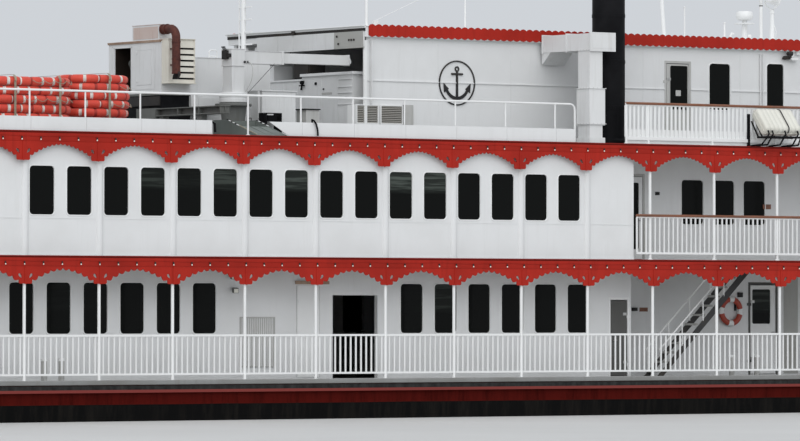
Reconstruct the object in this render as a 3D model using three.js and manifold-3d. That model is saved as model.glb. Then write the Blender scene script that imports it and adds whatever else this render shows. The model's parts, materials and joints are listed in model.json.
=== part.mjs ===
// Stern-wheel paddle steamer with three decks, built as a half-size (1:2) model.
// Millimetres of the model. +X points to the bow, +Y to port, +Z up, and z = 0 is the flat hull bottom.
import * as THREE from 'three';
import { mergeVertices } from 'three/addons/utils/BufferGeometryUtils.js';
import Module from 'manifold-3d';

const wasm = await Module();
wasm.setup();

// Faces that touch keep this gap, and a door leaf keeps its own gap in its frame.
const GAP = 0.3;
const LEAF_GAP = 8;

// Decks: heights of the walking surfaces, plate depths, and plan sizes.
const BAY = 1000;
const MAIN_DECK = 1050;
const SECOND_DECK = 2475;
const THIRD_DECK = 3880;
const ROOF_TOP = 5255;
const MAIN_PLATE = 40;
const EDGE_DEPTH = 120;
const ROOF_DEPTH = 125;
const STERN = -9600;
const UPPER_STERN = -9300;
const HULL_HALF = 2550;
const SECOND_HALF = 2550;
const THIRD_HALF = 2500;
const SECOND_FRONT = 10400;
const THIRD_FRONT = 10200;
const FRONT_RADIUS = 1500;

// Hull: the bow swells from a narrow stem, and the keel line rises at both ends.
const BOW_START = 7500;
const STRAKE_OUT = 45;
const BOW_TIP = 12500 - STRAKE_OUT;
const STEM_HALF = 110;
const BOW_RISE = 650;
const STERN_RISE = 420;
const STRAKE = { low: 925, high: 1005 };

// Houses on each deck: outer faces of their walls.
const WALL = 60;
const SALOON = { aft: -9200, fore: 5065, half: 2025 };
const LOBBY = { aft: 5065, fore: 9000, half: 1300 };
const UPPER = { aft: -9200, fore: 4780, half: 2440 };
const PROMENADE = { aft: 4780, fore: 9000, half: 1700 };
const PAVILION = { aft: 1535, fore: 4650, half: 1400 };
const WHEELHOUSE = { aft: 4650, fore: 9300, half: 1400 };
const ROOF = { aft: 1485, fore: 9360, half: 1450 };

// Paddle wheel and what carries it.
const WHEEL = { x: -11000, z: 1500, radius: 1250, half: 1900, shaft: 90, arms: 12 };
const BEAM = { aft: -12500, fore: -8600, inner: 2060, outer: 2250, low: MAIN_DECK + GAP, high: 1380 };
const RUDDER = { x: -9760, y: 1000, fore: 110, aft: 230, low: 40, high: 600, stock: 25, top: 930 };
const GUDGEON = { half: 45, height: 60, second: 240, bore: 1.2 };

// The one funnel stands to starboard, beside the house.
const FUNNEL = { x: 4740, y: -2000, top: 7500 };

// Slewing crane on the third deck, aft of the house.
const CRANE = { x: -250, y: -1200, discLow: 4310, columnTop: 4945, boomZ: 4850 };
const BOOM = { depth: 140, width: 120, wall: 10, fore: 430, innerAft: -125, innerFore: 1395 };

// Raft case: its wide and thick way in the athwart plane, its lean, and its middle over the deck.
const RAFT = { x: 6870, wide: 360, thick: 150, round: 62, lean: 0.89, middle: 298, length: 560 };

// Its cradle: tube size, half length, leg places, the height of its bars, and their places athwart.
const CRADLE = { tube: 28, half: 265, legs: [-200, 0, 200], low: 95, high: 125, outboard: -160, inboard: 30 };

// Air duct. Steps of its upright part: [fore end, inner face, how far it stands out, low, high].
const DUCT = {
  aft: 4130,
  outer: 2440,
  level: { long: 365, low: 1125, high: 1330 },
  steps: [
    [195, 2185, 0, 650, 1130],
    [225, 2170, 14, 220, 665],
    [195, 2185, 0, 60, 230],
    [225, 2170, 14, GAP, 70],
  ],
};

// Generator house: plan, sill and top over the deck.
const GENERATOR = { aft: -973, fore: -560, starboard: -750, port: 375, sill: 545, top: 1160 };
const TOP_BOX = { aft: -12, fore: 193, starboard: 30, port: -155, high: 190 };
const RECESS = { deep: 330, starboard: -108, port: 245, low: 20, high: -60 };
const LOUVRE_UNIT = { aft: 11, fore: -22, out: 140, low: 665, high: 1175 };
const EXHAUST = { x: 39, out: 275, up: 135, radius: 52, bend: 85, foot: 760 };

// Doors. hinge: +1 where the pin is at the aft edge and the leaf runs forward, -1 the other way round.
const LEAF = 24;
const PIN = { radius: 6, out: 6, strap: 60, height: 34 };
const DOORS = [
  { name: 'saloon_door', wall: SALOON.half, deck: MAIN_DECK, aft: 4755, width: 245, height: 915, hinge: -1 },
  { name: 'lobby_door', wall: LOBBY.half, deck: MAIN_DECK, aft: 7550, width: 400, height: 1110, hinge: 1 },
  {
    name: 'promenade_door', wall: PROMENADE.half, deck: SECOND_DECK, aft: 5150, width: 350, height: 1010, hinge: 1,
  },
  {
    name: 'house_door', wall: WHEELHOUSE.half, deck: THIRD_DECK, aft: 6128, width: 345, height: 1025, hinge: 1,
  },
];
const SILL = 20;
const SIDES = [
  { name: 'starboard', side: -1 },
  { name: 'port', side: 1 },
];

// Finishes: colour, roughness, metalness.
const FINISH = {
  white: [0xe3e4e2, 0.45, 0],
  red: [0xa62d28, 0.45, 0],
  black: [0x191a1c, 0.4, 0],
  hullBlack: [0x1d1c1c, 0.5, 0],
  deckGrey: [0x8d8f8e, 0.7, 0],
  steelGrey: [0x505254, 0.5, 0.3],
  orange: [0xd7412d, 0.6, 0],
  rust: [0x55231c, 0.7, 0.2],
  cover: [0x73786f, 0.9, 0],
  cream: [0xebebe1, 0.4, 0],
};

const steamer = new THREE.Group();

function addPart(name, geometry, finish, position = [0, 0, 0]) {
  const [color, roughness, metalness] = FINISH[finish];
  const part = new THREE.Mesh(geometry, new THREE.MeshStandardMaterial({ color, roughness, metalness }));
  part.name = name;
  part.position.set(...position);
  steamer.add(part);
}

// A block between two opposite corners, given in any order.
function block(xa, xb, ya, yb, za, zb) {
  return new THREE.BoxGeometry(Math.abs(xb - xa), Math.abs(yb - ya), Math.abs(zb - za))
    .translate((xa + xb) / 2, (ya + yb) / 2, (za + zb) / 2);
}

// An upright cylinder or cone.
function upright(radius, x, y, low, high, sides = 12, topRadius = radius) {
  return new THREE.CylinderGeometry(topRadius, radius, high - low, sides)
    .rotateX(Math.PI / 2)
    .translate(x, y, (low + high) / 2);
}

// A cylinder that lies athwart the ship.
function athwart(radius, x, z, ya, yb, sides = 24) {
  return new THREE.CylinderGeometry(radius, radius, Math.abs(yb - ya), sides)
    .translate(x, (ya + yb) / 2, z);
}

// A plan outline raised from one height to another.
function plate(outline, low, high) {
  const shape = new THREE.Shape(outline.map(([x, y]) => new THREE.Vector2(x, y)));
  return new THREE.ExtrudeGeometry(shape, { depth: high - low, bevelEnabled: false }).translate(0, 0, low);
}

function solidOf(geometry) {
  const bare = geometry.clone();
  bare.deleteAttribute('normal');
  bare.deleteAttribute('uv');
  const merged = mergeVertices(bare);
  return new wasm.Manifold(new wasm.Mesh({
    numProp: 3,
    vertProperties: merged.attributes.position.array,
    triVerts: Uint32Array.from(merged.index.array),
  }));
}

function geometryOf(solid) {
  const mesh = solid.getMesh();
  const geometry = new THREE.BufferGeometry();
  geometry.setAttribute('position', new THREE.BufferAttribute(mesh.vertProperties, 3));
  geometry.setIndex(new THREE.BufferAttribute(mesh.triVerts, 1));
  return geometry;
}

function join(parts) {
  return geometryOf(parts.map(solidOf).reduce((whole, part) => whole.add(part)));
}

function cut(base, cutters) {
  return geometryOf(cutters.map(solidOf).reduce((whole, cutter) => whole.subtract(cutter), solidOf(base)));
}

// Half breadth of the hull at the deck, t from 0 where the bow begins to 1 at the stem.
function bowHalf(t) {
  return STEM_HALF + (HULL_HALF - STEM_HALF) * (1 - t ** 2.4) ** 0.62;
}

const BOW_STEPS = [0, 0.2, 0.4, 0.56, 0.7, 0.82, 0.91, 0.97, 1];
const bowX = (t) => BOW_START + t * (BOW_TIP - BOW_START);

// Plan of the hull from the starboard quarter round the stem to the port quarter.
function hullPlan() {
  const starboard = [[STERN, -HULL_HALF + 60], [STERN + 900, -HULL_HALF]]
    .concat(BOW_STEPS.map((t) => [bowX(t), -bowHalf(t)]));
  const port = starboard.map(([x, y]) => [x, -y]).reverse();
  return starboard.concat(port);
}

// A strip that follows a plan path, between two distances out from it.
function strip(path, inner, outer) {
  const offset = (distance) => path.map(([x, y], i) => {
    const [ax, ay] = path[Math.max(i - 1, 0)];
    const [bx, by] = path[Math.min(i + 1, path.length - 1)];
    const length = Math.hypot(bx - ax, by - ay);
    return [x + ((by - ay) / length) * distance, y - ((bx - ax) / length) * distance];
  });
  return offset(outer).concat(offset(inner).reverse());
}

// Skin through closed sections of the same number of points, with both ends closed. Each section runs
// anticlockwise as seen from the far end.
function loft(sections) {
  const ring = sections[0].length;
  const index = [];
  for (let s = 0; s + 1 < sections.length; s += 1) {
    for (let i = 0; i < ring; i += 1) {
      const a = s * ring + i;
      const b = s * ring + ((i + 1) % ring);
      index.push(a, b, a + ring, b, b + ring, a + ring);
    }
  }
  const last = (sections.length - 1) * ring;
  for (let i = 1; i + 1 < ring; i += 1) {
    index.push(0, i + 1, i, last, last + i, last + i + 1);
  }
  const geometry = new THREE.BufferGeometry();
  geometry.setAttribute('position', new THREE.Float32BufferAttribute(sections.flat(2), 3));
  geometry.setIndex(index);
  return geometry;
}

// Hull section: flat bottom, bilge, flared side and an upright top strake.
function hullSection(x, deckHalf, bottomHalf, keel) {
  const top = MAIN_DECK - MAIN_PLATE - GAP;
  const bilge = keel + 0.4 * (STRAKE.low - keel);
  const side = deckHalf - 0.15 * (deckHalf - bottomHalf);
  const half = [[bottomHalf, keel], [side, bilge], [deckHalf, STRAKE.low - 20], [deckHalf, top]];
  const port = half.map(([y, z]) => [x, y, z]);
  const starboard = half.map(([y, z]) => [x, -y, z]).reverse();
  return port.concat(starboard);
}

function hull() {
  const stations = [
    [STERN, HULL_HALF - 60, 2250, STERN_RISE],
    [STERN + 900, HULL_HALF, 2350, STERN_RISE * 0.35],
    [STERN + 1800, HULL_HALF, 2400, 0],
  ].concat(BOW_STEPS.map((t) => [
    bowX(t), bowHalf(t), (bowHalf(t) - 150 * (1 - t)) * (1 - 0.45 * t * t), BOW_RISE * t * t,
  ]));
  const shell = loft(stations.map((station) => hullSection(...station)));
  const gudgeons = [];
  for (const { side } of SIDES) {
    for (const low of [RUDDER.high + GAP, RUDDER.high + GUDGEON.second]) {
      gudgeons.push(block(
        STERN + 50, RUDDER.x - GUDGEON.half, side * RUDDER.y - GUDGEON.half, side * RUDDER.y + GUDGEON.half,
        low, low + GUDGEON.height,
      ));
    }
  }
  const bores = SIDES.map(({ side }) => upright(
    RUDDER.stock + GUDGEON.bore, RUDDER.x, side * RUDDER.y, RUDDER.high - 50, RUDDER.top + 50, 16,
  ));
  return cut(join([shell, ...gudgeons]), bores);
}

// Plan of an upper deck: square stern, round corners at the bow end.
function deckPath(half, aft, fore, radius, steps = 4) {
  const path = [[aft, -half]];
  for (let i = 0; i <= steps; i += 1) {
    const turn = (i / steps) * (Math.PI / 2);
    path.push([fore - radius + radius * Math.sin(turn), -half + radius - radius * Math.cos(turn)]);
  }
  return path.concat(path.map(([x, y]) => [x, -y]).reverse());
}

const STAIR = { foot: 5410, head: 6890, inner: 1850, outer: 2125, steps: 12 };

function secondDeck() {
  const base = plate(
    deckPath(SECOND_HALF, UPPER_STERN, SECOND_FRONT, FRONT_RADIUS),
    SECOND_DECK - EDGE_DEPTH,
    SECOND_DECK,
  );
  const wells = SIDES.map(({ side }) => block(
    STAIR.foot + 500, STAIR.head + 20, side * (STAIR.inner - 12), side * (STAIR.outer + 12),
    SECOND_DECK - EDGE_DEPTH - 10, SECOND_DECK + 10,
  ));
  return cut(base, wells);
}

// Doors of one house: the holes in its walls, and the hinge halves that stay on the wall.
const pinX = (door) => (door.hinge > 0 ? door.aft : door.aft + door.width);
const hingeHeights = (door) => [0.16, 0.8].map((part) => door.deck + SILL + part * door.height);

function doorHoles(house) {
  return DOORS.filter((door) => door.wall === house.half && door.aft >= house.aft && door.aft < house.fore)
    .flatMap((door) => SIDES.map(({ side }) => block(
      door.aft - LEAF_GAP, door.aft + door.width + LEAF_GAP,
      side * (door.wall - WALL - 10), side * (door.wall + 10),
      door.deck + SILL - LEAF_GAP, door.deck + SILL + door.height + LEAF_GAP,
    )));
}

function wallHinges(house) {
  return DOORS.filter((door) => door.wall === house.half && door.aft >= house.aft && door.aft < house.fore)
    .flatMap((door) => SIDES.flatMap(({ side }) => hingeHeights(door).flatMap((z) => [
      upright(PIN.radius, pinX(door), side * (door.wall + PIN.out), z - PIN.height, z - GAP / 2, 8),
      block(
        pinX(door), pinX(door) - door.hinge * PIN.strap,
        side * (door.wall - 5), side * (door.wall + PIN.out),
        z - PIN.height, z - GAP / 2,
      ),
    ])));
}

// A house without floor or roof of its own: four walls, or three where its aft end is open.
function walls(house, low, high, { openAft = false, extra = [] } = {}) {
  const outer = block(house.aft, house.fore, -house.half, house.half, low, high);
  const inner = block(
    openAft ? house.aft - 10 : house.aft + WALL, house.fore - WALL,
    -house.half + WALL, house.half - WALL, low - 10, high + 10,
  );
  const shell = cut(outer, [inner, ...doorHoles(house), ...extra]);
  const hinges = wallHinges(house);
  return hinges.length ? join([shell, ...hinges]) : shell;
}

// One door leaf in the frame of its hinge pin.
function doorLeaf(door, side) {
  const run = door.hinge;
  const leaf = block(
    0, run * door.width, side * -PIN.out, side * (-PIN.out - LEAF),
    door.deck + SILL, door.deck + SILL + door.height,
  );
  const hinges = hingeHeights(door).flatMap((z) => [
    upright(PIN.radius, 0, 0, z + GAP / 2, z + PIN.height, 8),
    block(0, run * PIN.strap, side * (-PIN.out - 5), 0, z + GAP / 2, z + PIN.height),
  ]);
  return join([leaf, ...hinges]);
}

// Guard rail on a plan path: posts and level bars, joined. Bars: [low, high] over the deck.
function rail(path, postPoints, deck, top, bars, width, postWidth = width) {
  const level = bars.map(([low, high]) => plate(strip(path, -width / 2, width / 2), deck + low, deck + high));
  const posts = postPoints.map(([x, y]) => block(
    x - postWidth / 2, x + postWidth / 2, y - postWidth / 2, y + postWidth / 2, deck + GAP, top,
  ));
  return join([...level, ...posts]);
}

const range = (count) => Array.from({ length: count }, (_, i) => i);
const evenly = (from, to, step) => range(Math.round((to - from) / step) + 1).map((i) => from + i * step);
const RAIL = 535;
const LOW_BAR = [70, 95];

// Side rails of the main deck, with the posts that carry the deck above.
function mainRail(side) {
  const y = side * 2530;
  const posts = evenly(-9000, 8000, BAY).map((x) => [x, y]);
  const underside = SECOND_DECK - EDGE_DEPTH - GAP;
  return rail([[-9200, y], [8200, y]], posts, MAIN_DECK, underside, [LOW_BAR, [RAIL - 25, RAIL]], 30, 40);
}

// Rail round the foredeck, a little inside the deck edge, open at the stem.
function foreRail(side) {
  const path = BOW_STEPS.slice(1, 8).map((t) => [bowX(t) - 90 * t, side * (bowHalf(t) - 70)]);
  return rail(path, path, MAIN_DECK, MAIN_DECK + RAIL - 5, [LOW_BAR, [RAIL - 25, RAIL]], 30, 40);
}

// Rail round the forward end of an upper deck, with posts to the deck above where there is one.
function promenadeRail() {
  const inset = 60;
  const path = deckPath(SECOND_HALF - inset, UPPER.fore + 10, SECOND_FRONT - inset, FRONT_RADIUS - inset);
  const posts = evenly(5000, 8000, BAY).flatMap((x) => SIDES.map(({ side }) => [x, side * 2480]));
  const front = path.slice(1, -1);
  const low = rail(path, front, SECOND_DECK, SECOND_DECK + RAIL - 5, [LOW_BAR, [RAIL - 30, RAIL]], 36, 30);
  const underside = THIRD_DECK - EDGE_DEPTH - GAP;
  const tall = posts.map(([x, y]) => block(x - 20, x + 20, y - 20, y + 20, SECOND_DECK + GAP, underside));
  return join([low, ...tall]);
}

function topRail() {
  const inset = 50;
  const path = deckPath(THIRD_HALF - inset, PAVILION.fore - 10, THIRD_FRONT - inset, FRONT_RADIUS - inset);
  const sides = evenly(5000, 8000, BAY)
    .flatMap((x) => SIDES.map(({ side }) => [x, side * (THIRD_HALF - inset)]));
  const front = path.slice(1, -1);
  const bars = [LOW_BAR, [RAIL - 30, RAIL]];
  return rail(path, front.concat(sides), THIRD_DECK, THIRD_DECK + RAIL - 5, bars, 36, 30);
}

// Single pipe rail round the after part of the third deck.
function aftRail() {
  const y = 2450;
  const aft = UPPER_STERN + 60;
  const fore = 3870;
  const path = [[fore, y], [aft, y], [aft, -y], [fore, -y]];
  const level = [
    block(aft - 14, fore, y - 14, y + 14, THIRD_DECK + 450, THIRD_DECK + 478),
    block(aft - 14, fore, -y - 14, -y + 14, THIRD_DECK + 450, THIRD_DECK + 478),
    block(aft - 14, aft + 14, -y, y, THIRD_DECK + 450, THIRD_DECK + 478),
  ];
  const sides = evenly(1335 - 13 * 745, 1335 + 3 * 745, 745)
    .flatMap((x) => [[x, y], [x, -y]]);
  const stern = evenly(-1500, 1500, 750).map((py) => [aft, py]);
  const posts = sides.concat(stern, path).map(([px, py]) => block(
    px - 11, px + 11, py - 11, py + 11, THIRD_DECK + GAP, THIRD_DECK + 460,
  ));
  return join([...level, ...posts]);
}

// An outline in the ship's upright plane, given as x and z, with a thickness athwart.
function profile(outline, ya, yb) {
  const shape = new THREE.Shape(outline.map(([x, z]) => new THREE.Vector2(x, z)));
  return new THREE.ExtrudeGeometry(shape, { depth: Math.abs(yb - ya), bevelEnabled: false })
    .rotateX(Math.PI / 2)
    .translate(0, Math.max(ya, yb), 0);
}

// Open steel stair: two sloping strings and level treads.
function stair(side) {
  const low = MAIN_DECK + GAP;
  const rise = SECOND_DECK - low;
  const run = STAIR.head - STAIR.foot;
  const at = (part) => STAIR.foot + part * run;
  const string = [[at(0) - 60, low], [at(0) + 70, low], [at(1), SECOND_DECK - 130], [at(1), SECOND_DECK],
    [at(1) - 25, SECOND_DECK]];
  const strings = [STAIR.inner, STAIR.outer - 16].map((y) => profile(string, side * y, side * (y + 16)));
  const treads = range(STAIR.steps).map((i) => {
    const part = (i + 0.7) / (STAIR.steps + 0.4);
    const z = low + part * rise;
    return block(at(part) - 45, at(part) + 55, side * (STAIR.inner + 4), side * (STAIR.outer - 4), z - 14, z);
  });
  return join([...strings, ...treads]);
}

function funnel() {
  const tall = FUNNEL.top - THIRD_DECK;
  const profile = [
    [0, GAP], [235, GAP], [235, 60], [200, 75], [200, tall - 420], [215, tall - 405], [215, tall - 370],
    [202, tall - 355], [215, tall - 220], [255, tall - 90], [330, tall], [300, tall], [190, tall - 200],
    [0, tall - 200],
  ].map(([r, z]) => new THREE.Vector2(r, z));
  return new THREE.LatheGeometry(profile, 16).rotateX(Math.PI / 2);
}

function paddleWheel() {
  const pieces = [athwart(WHEEL.shaft, 0, 0, -WHEEL.half - 60, WHEEL.half + 60, WHEEL.arms)];
  for (const { side } of SIDES) {
    pieces.push(athwart(WHEEL.shaft, 0, 0, side * (WHEEL.half + 50), side * (BEAM.outer + 30), 32));
  }
  const ringShape = new THREE.Shape().absarc(0, 0, 1150, 0, Math.PI * 2);
  ringShape.holes.push(new THREE.Path().absarc(0, 0, 1090, 0, Math.PI * 2));
  const spiders = [-WHEEL.half + 250, 0, WHEEL.half - 250];
  for (const y of spiders) {
    pieces.push(athwart(210, 0, 0, y - 45, y + 45, WHEEL.arms));
    const ring = { depth: 40, bevelEnabled: false, curveSegments: WHEEL.arms };
    pieces.push(new THREE.ExtrudeGeometry(ringShape, ring)
      .rotateX(Math.PI / 2)
      .translate(0, y + 20, 0));
    for (const arm of range(WHEEL.arms)) {
      pieces.push(block(60, WHEEL.radius - 6, y - 18, y + 18, -28, 28)
        .rotateY((arm / WHEEL.arms) * Math.PI * 2));
    }
  }
  for (const arm of range(WHEEL.arms)) {
    pieces.push(block(WHEEL.radius - 290, WHEEL.radius, -WHEEL.half, WHEEL.half, 10, 44)
      .rotateY((arm / WHEEL.arms) * Math.PI * 2));
  }
  return join(pieces);
}

// Timber that reaches aft from the hull and carries the wheel's bearing.
function wheelBeam(side) {
  const beam = block(BEAM.aft, BEAM.fore, side * BEAM.inner, side * BEAM.outer, BEAM.low, BEAM.high);
  const housing = block(
    WHEEL.x - 200, WHEEL.x + 200, side * (BEAM.inner + 15), side * (BEAM.outer - 15),
    BEAM.high - 10, WHEEL.z + 160,
  );
  const bore = athwart(
    WHEEL.shaft + 0.65, WHEEL.x, WHEEL.z, side * (BEAM.inner - 10), side * (BEAM.outer + 10), 32,
  );
  return cut(join([beam, housing]), [bore]);
}

function rudder() {
  const { fore, aft, low, high, stock: radius, top } = RUDDER;
  const outline = [
    [fore, 0], [fore * 0.6, 24], [-aft * 0.4, 22], [-aft, 5],
    [-aft, -5], [-aft * 0.4, -22], [fore * 0.6, -24],
  ];
  const blade = plate(outline, low, high);
  const stock = upright(radius, 0, 0, high - 30, top, 16);
  const cap = upright(radius + 14, 0, 0, top - 25, top + 15, 16);
  return join([blade, stock, cap]);
}

// Crane: fixed cone, slewing column with its box boom, and the section that slides inside the boom.
function craneArm() {
  const low = CRANE.boomZ - BOOM.depth / 2;
  const high = CRANE.boomZ + BOOM.depth / 2;
  const half = BOOM.width / 2;
  const end = BOOM.fore - CRANE.x;
  const disc = upright(170, 0, 0, CRANE.discLow + GAP, CRANE.discLow + 115, 24);
  const column = block(-95, 95, -105, 105, CRANE.discLow + 105, CRANE.columnTop);
  const tube = block(90, end, -half, half, low, high);
  const collar = block(end - 26, end, -half - 10, half + 10, low - 10, high + 10);
  const hollow = block(120, end + 10, -half + BOOM.wall, half - BOOM.wall, low + BOOM.wall, high - BOOM.wall);
  return cut(join([disc, column, tube, collar]), [hollow]);
}

function craneExtension() {
  const half = BOOM.width / 2 - BOOM.wall - GAP;
  const low = CRANE.boomZ - BOOM.depth / 2 + BOOM.wall + GAP;
  const high = CRANE.boomZ + BOOM.depth / 2 - BOOM.wall - GAP;
  return block(BOOM.innerAft - CRANE.x, BOOM.innerFore - CRANE.x, -half, half, low, high);
}

// Ramp at the deck edge: two side plates, and between them a floor that slopes down outboard.
const RAMP = { aft: -755, fore: -325, plate: 12, inner: -1520, crest: -1800, knee: -2040, foot: -2425, high: 205 };

function sideRamp() {
  const { aft, fore, plate, inner, crest, knee, foot, high } = RAMP;
  const slope = (y) => 8 + (high - 8) * (y - foot) / (crest - foot);
  const cheek = [[foot, 0], [foot, 8], [crest, high], [inner, high], [inner, 0]];
  const floor = [[foot, 0], [foot, 8], [knee, slope(knee) - 6], [knee, 0]];
  const across = (outline, from, to) => profile(outline, from, to).rotateZ(Math.PI / 2);
  return join([
    across(cheek, -aft - plate, -aft),
    across(cheek, -fore, -fore + plate),
    across(floor, -fore + 2, -aft - 2),
  ]);
}

// Generator house, athwart the deck, with a doorway in its aft face and a box on top for the exhaust.
function generatorHouse() {
  const d = THIRD_DECK;
  const { aft, fore, starboard, port, sill, top } = GENERATOR;
  const house = block(aft, fore, starboard, port, d + sill, d + top);
  const topBox = block(
    aft + TOP_BOX.aft, aft + TOP_BOX.fore, starboard + TOP_BOX.starboard, TOP_BOX.port,
    d + top - 5, d + top + TOP_BOX.high,
  );
  const doorway = block(
    aft - 10, aft + RECESS.deep, RECESS.starboard, RECESS.port, d + sill + RECESS.low, d + top + RECESS.high,
  );
  return cut(join([house, topBox]), [doorway]);
}

// Exhaust: leaves the top box to starboard and turns down past the louvres.
function exhaustPipe() {
  const { radius, bend, foot } = EXHAUST;
  const x = GENERATOR.aft + EXHAUST.x;
  const y = GENERATOR.starboard - EXHAUST.out;
  const z = THIRD_DECK + GENERATOR.top + EXHAUST.up;
  const route = new THREE.CurvePath();
  const p = (py, pz) => new THREE.Vector3(x, py, pz);
  route.add(new THREE.LineCurve3(p(GENERATOR.starboard + TOP_BOX.starboard - GAP, z), p(y + bend, z)));
  route.add(new THREE.QuadraticBezierCurve3(p(y + bend, z), p(y, z), p(y, z - bend)));
  route.add(new THREE.LineCurve3(p(y, z - bend), p(y, THIRD_DECK + foot)));
  const section = new THREE.Shape().absarc(0, 0, radius, 0, Math.PI * 2);
  return new THREE.ExtrudeGeometry(section, {
    steps: 12, curveSegments: 4, bevelEnabled: false, extrudePath: route,
  });
}

// Stack of life floats: one ring with round ends, as tall as the stack.
function floatStack(length, width, height) {
  const outline = (grow) => {
    const shape = new THREE.Shape();
    const r = width / 2 + grow;
    shape.absarc(length / 2 - width / 2, 0, r, -Math.PI / 2, Math.PI / 2);
    shape.absarc(-length / 2 + width / 2, 0, r, Math.PI / 2, Math.PI * 1.5);
    return shape;
  };
  const shape = outline(0);
  shape.holes.push(outline(-150));
  return new THREE.ExtrudeGeometry(shape, { depth: height, bevelEnabled: false, curveSegments: 6 });
}

// Raft in its moulded case: a thick rounded slab that leans outboard, on a tube cradle at the deck edge.
function lifeRaft(side) {
  const { wide, thick, round, lean, middle, length } = RAFT;
  const shape = new THREE.Shape();
  const corners = [[1, 1, 0], [-1, 1, 0.5], [-1, -1, 1], [1, -1, 1.5]];
  for (const [a, b, turn] of corners) {
    const start = turn * Math.PI;
    shape.absarc(a * (wide / 2 - round), b * (thick / 2 - round), round, start, start + Math.PI / 2);
  }
  const slab = new THREE.ExtrudeGeometry(shape, { depth: length, bevelEnabled: false, curveSegments: 4 })
    .translate(0, 0, -length / 2)
    .rotateZ(side * -lean)
    .rotateX(Math.PI / 2)
    .rotateZ(Math.PI / 2)
    .translate(0, 0, middle);
  const { tube, half, low, high, outboard, inboard } = CRADLE;
  const legs = CRADLE.legs.flatMap((x) => [
    block(x - tube / 2, x + tube / 2, side * outboard, side * (inboard + tube), low, high),
    block(x - tube / 2, x + tube / 2, side * outboard, side * (outboard + tube), GAP, high),
    block(x - tube / 2, x + tube / 2, side * inboard, side * (inboard + tube), low, middle - 60),
  ]);
  const bars = [outboard, inboard].map((y) => block(-half, half, side * y, side * (y + tube), low, high));
  return join([slab, ...legs, ...bars]);
}

// White air duct: a level box out from the roof, and a stepped upright one down to the deck.
function airDuct(side) {
  const { aft, outer, level: { long, low: under, high: over } } = DUCT;
  const d = THIRD_DECK;
  const level = block(aft, aft + long, side * (ROOF.half + GAP), side * outer, d + under, d + over);
  const steps = DUCT.steps.map(([fore, inner, inset, low, high]) => block(
    aft - inset, aft + fore, side * inner, side * (outer - 30 + inset), d + low, d + high,
  ));
  return join([level, ...steps]);
}

// Windlass: two cheeks on a bed plate, a shaft with chain drums, and a warping head at each end.
const WINDLASS = { long: 500, cheek: 60, cheekOut: 420, high: 330, axis: 240 };

function windlass() {
  const d = MAIN_DECK;
  const { long, cheek, cheekOut, high, axis } = WINDLASS;
  const bed = block(-long / 2 - 10, long / 2 + 10, -cheekOut - 10, cheekOut + 10, d + GAP, d + 25);
  const shaft = athwart(60, 0, d + axis, -560, 560, 12);
  const sides = SIDES.flatMap(({ side }) => [
    block(-long / 2, long / 2, side * cheekOut, side * (cheekOut - cheek), d + GAP, d + high),
    athwart(130, 0, d + axis, side * 180, side * 300, 16),
    athwart(95, 0, d + axis, side * 450, side * 570, 12),
  ]);
  return join([bed, shaft, ...sides]);
}

// Hull, decks and the houses between them.
addPart('hull', hull(), 'hullBlack');
addPart('rubbing_strake', plate(strip(hullPlan(), GAP, STRAKE_OUT), STRAKE.low, STRAKE.high), 'black');
addPart('main_deck', plate(hullPlan(), MAIN_DECK - MAIN_PLATE, MAIN_DECK), 'deckGrey');
addPart('second_deck', secondDeck(), 'red');
addPart('third_deck', plate(
  deckPath(THIRD_HALF, UPPER_STERN, THIRD_FRONT, FRONT_RADIUS), THIRD_DECK - EDGE_DEPTH, THIRD_DECK,
), 'red');

const MAIN_ROOM = [MAIN_DECK + GAP, SECOND_DECK - EDGE_DEPTH - GAP];
const UPPER_ROOM = [SECOND_DECK + GAP, THIRD_DECK - EDGE_DEPTH - GAP];
const TOP_ROOM = [THIRD_DECK + GAP, ROOF_TOP - ROOF_DEPTH - GAP];
const entrances = SIDES.map(({ side }) => block(
  600, 1250, side * (SALOON.half - WALL - 10), side * (SALOON.half + 10), MAIN_DECK + 12, MAIN_DECK + 990,
));
addPart('main_saloon_walls', walls(SALOON, ...MAIN_ROOM, { extra: entrances }), 'white');
addPart('lobby_walls', walls({ ...LOBBY, aft: LOBBY.aft + GAP }, ...MAIN_ROOM, { openAft: true }), 'white');
addPart('upper_saloon_walls', walls(UPPER, ...UPPER_ROOM), 'white');
addPart('promenade_walls', walls(
  { ...PROMENADE, aft: PROMENADE.aft + GAP }, ...UPPER_ROOM, { openAft: true },
), 'white');
addPart('pavilion_walls', walls(
  { ...PAVILION, fore: PAVILION.fore - GAP + WALL }, ...TOP_ROOM, { openAft: true },
), 'white');
addPart('wheelhouse_walls', walls(
  { ...WHEELHOUSE, aft: WHEELHOUSE.aft + WALL }, ...TOP_ROOM, { openAft: true },
), 'white');
addPart('deckhouse_roof', block(
  ROOF.aft, ROOF.fore, -ROOF.half, ROOF.half, ROOF_TOP - ROOF_DEPTH, ROOF_TOP,
), 'white');
addPart('engine', block(-8300, -6300, -600, 600, MAIN_DECK + GAP, MAIN_DECK + 900), 'steelGrey');

for (const door of DOORS) {
  for (const { name, side } of SIDES) {
    const place = [pinX(door), side * (door.wall + PIN.out), 0];
    addPart(`${door.name}_${name}`, doorLeaf(door, side), 'white', place);
  }
}

// Rails and stairs.
for (const { name, side } of SIDES) {
  addPart(`main_rail_${name}`, mainRail(side), 'white');
  addPart(`fore_rail_${name}`, foreRail(side), 'white');
  addPart(`main_stair_${name}`, stair(side), 'steelGrey');
}
addPart('promenade_rail', promenadeRail(), 'white');
addPart('top_rail', topRail(), 'white');
addPart('aft_rail', aftRail(), 'white');

// Stern wheel, its beams and the rudders.
addPart('paddle_wheel', paddleWheel(), 'red', [WHEEL.x, 0, WHEEL.z]);
for (const { name, side } of SIDES) {
  addPart(`wheel_beam_${name}`, wheelBeam(side), 'black');
  addPart(`rudder_${name}`, rudder(), 'black', [RUDDER.x, side * RUDDER.y, 0]);
}

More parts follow.
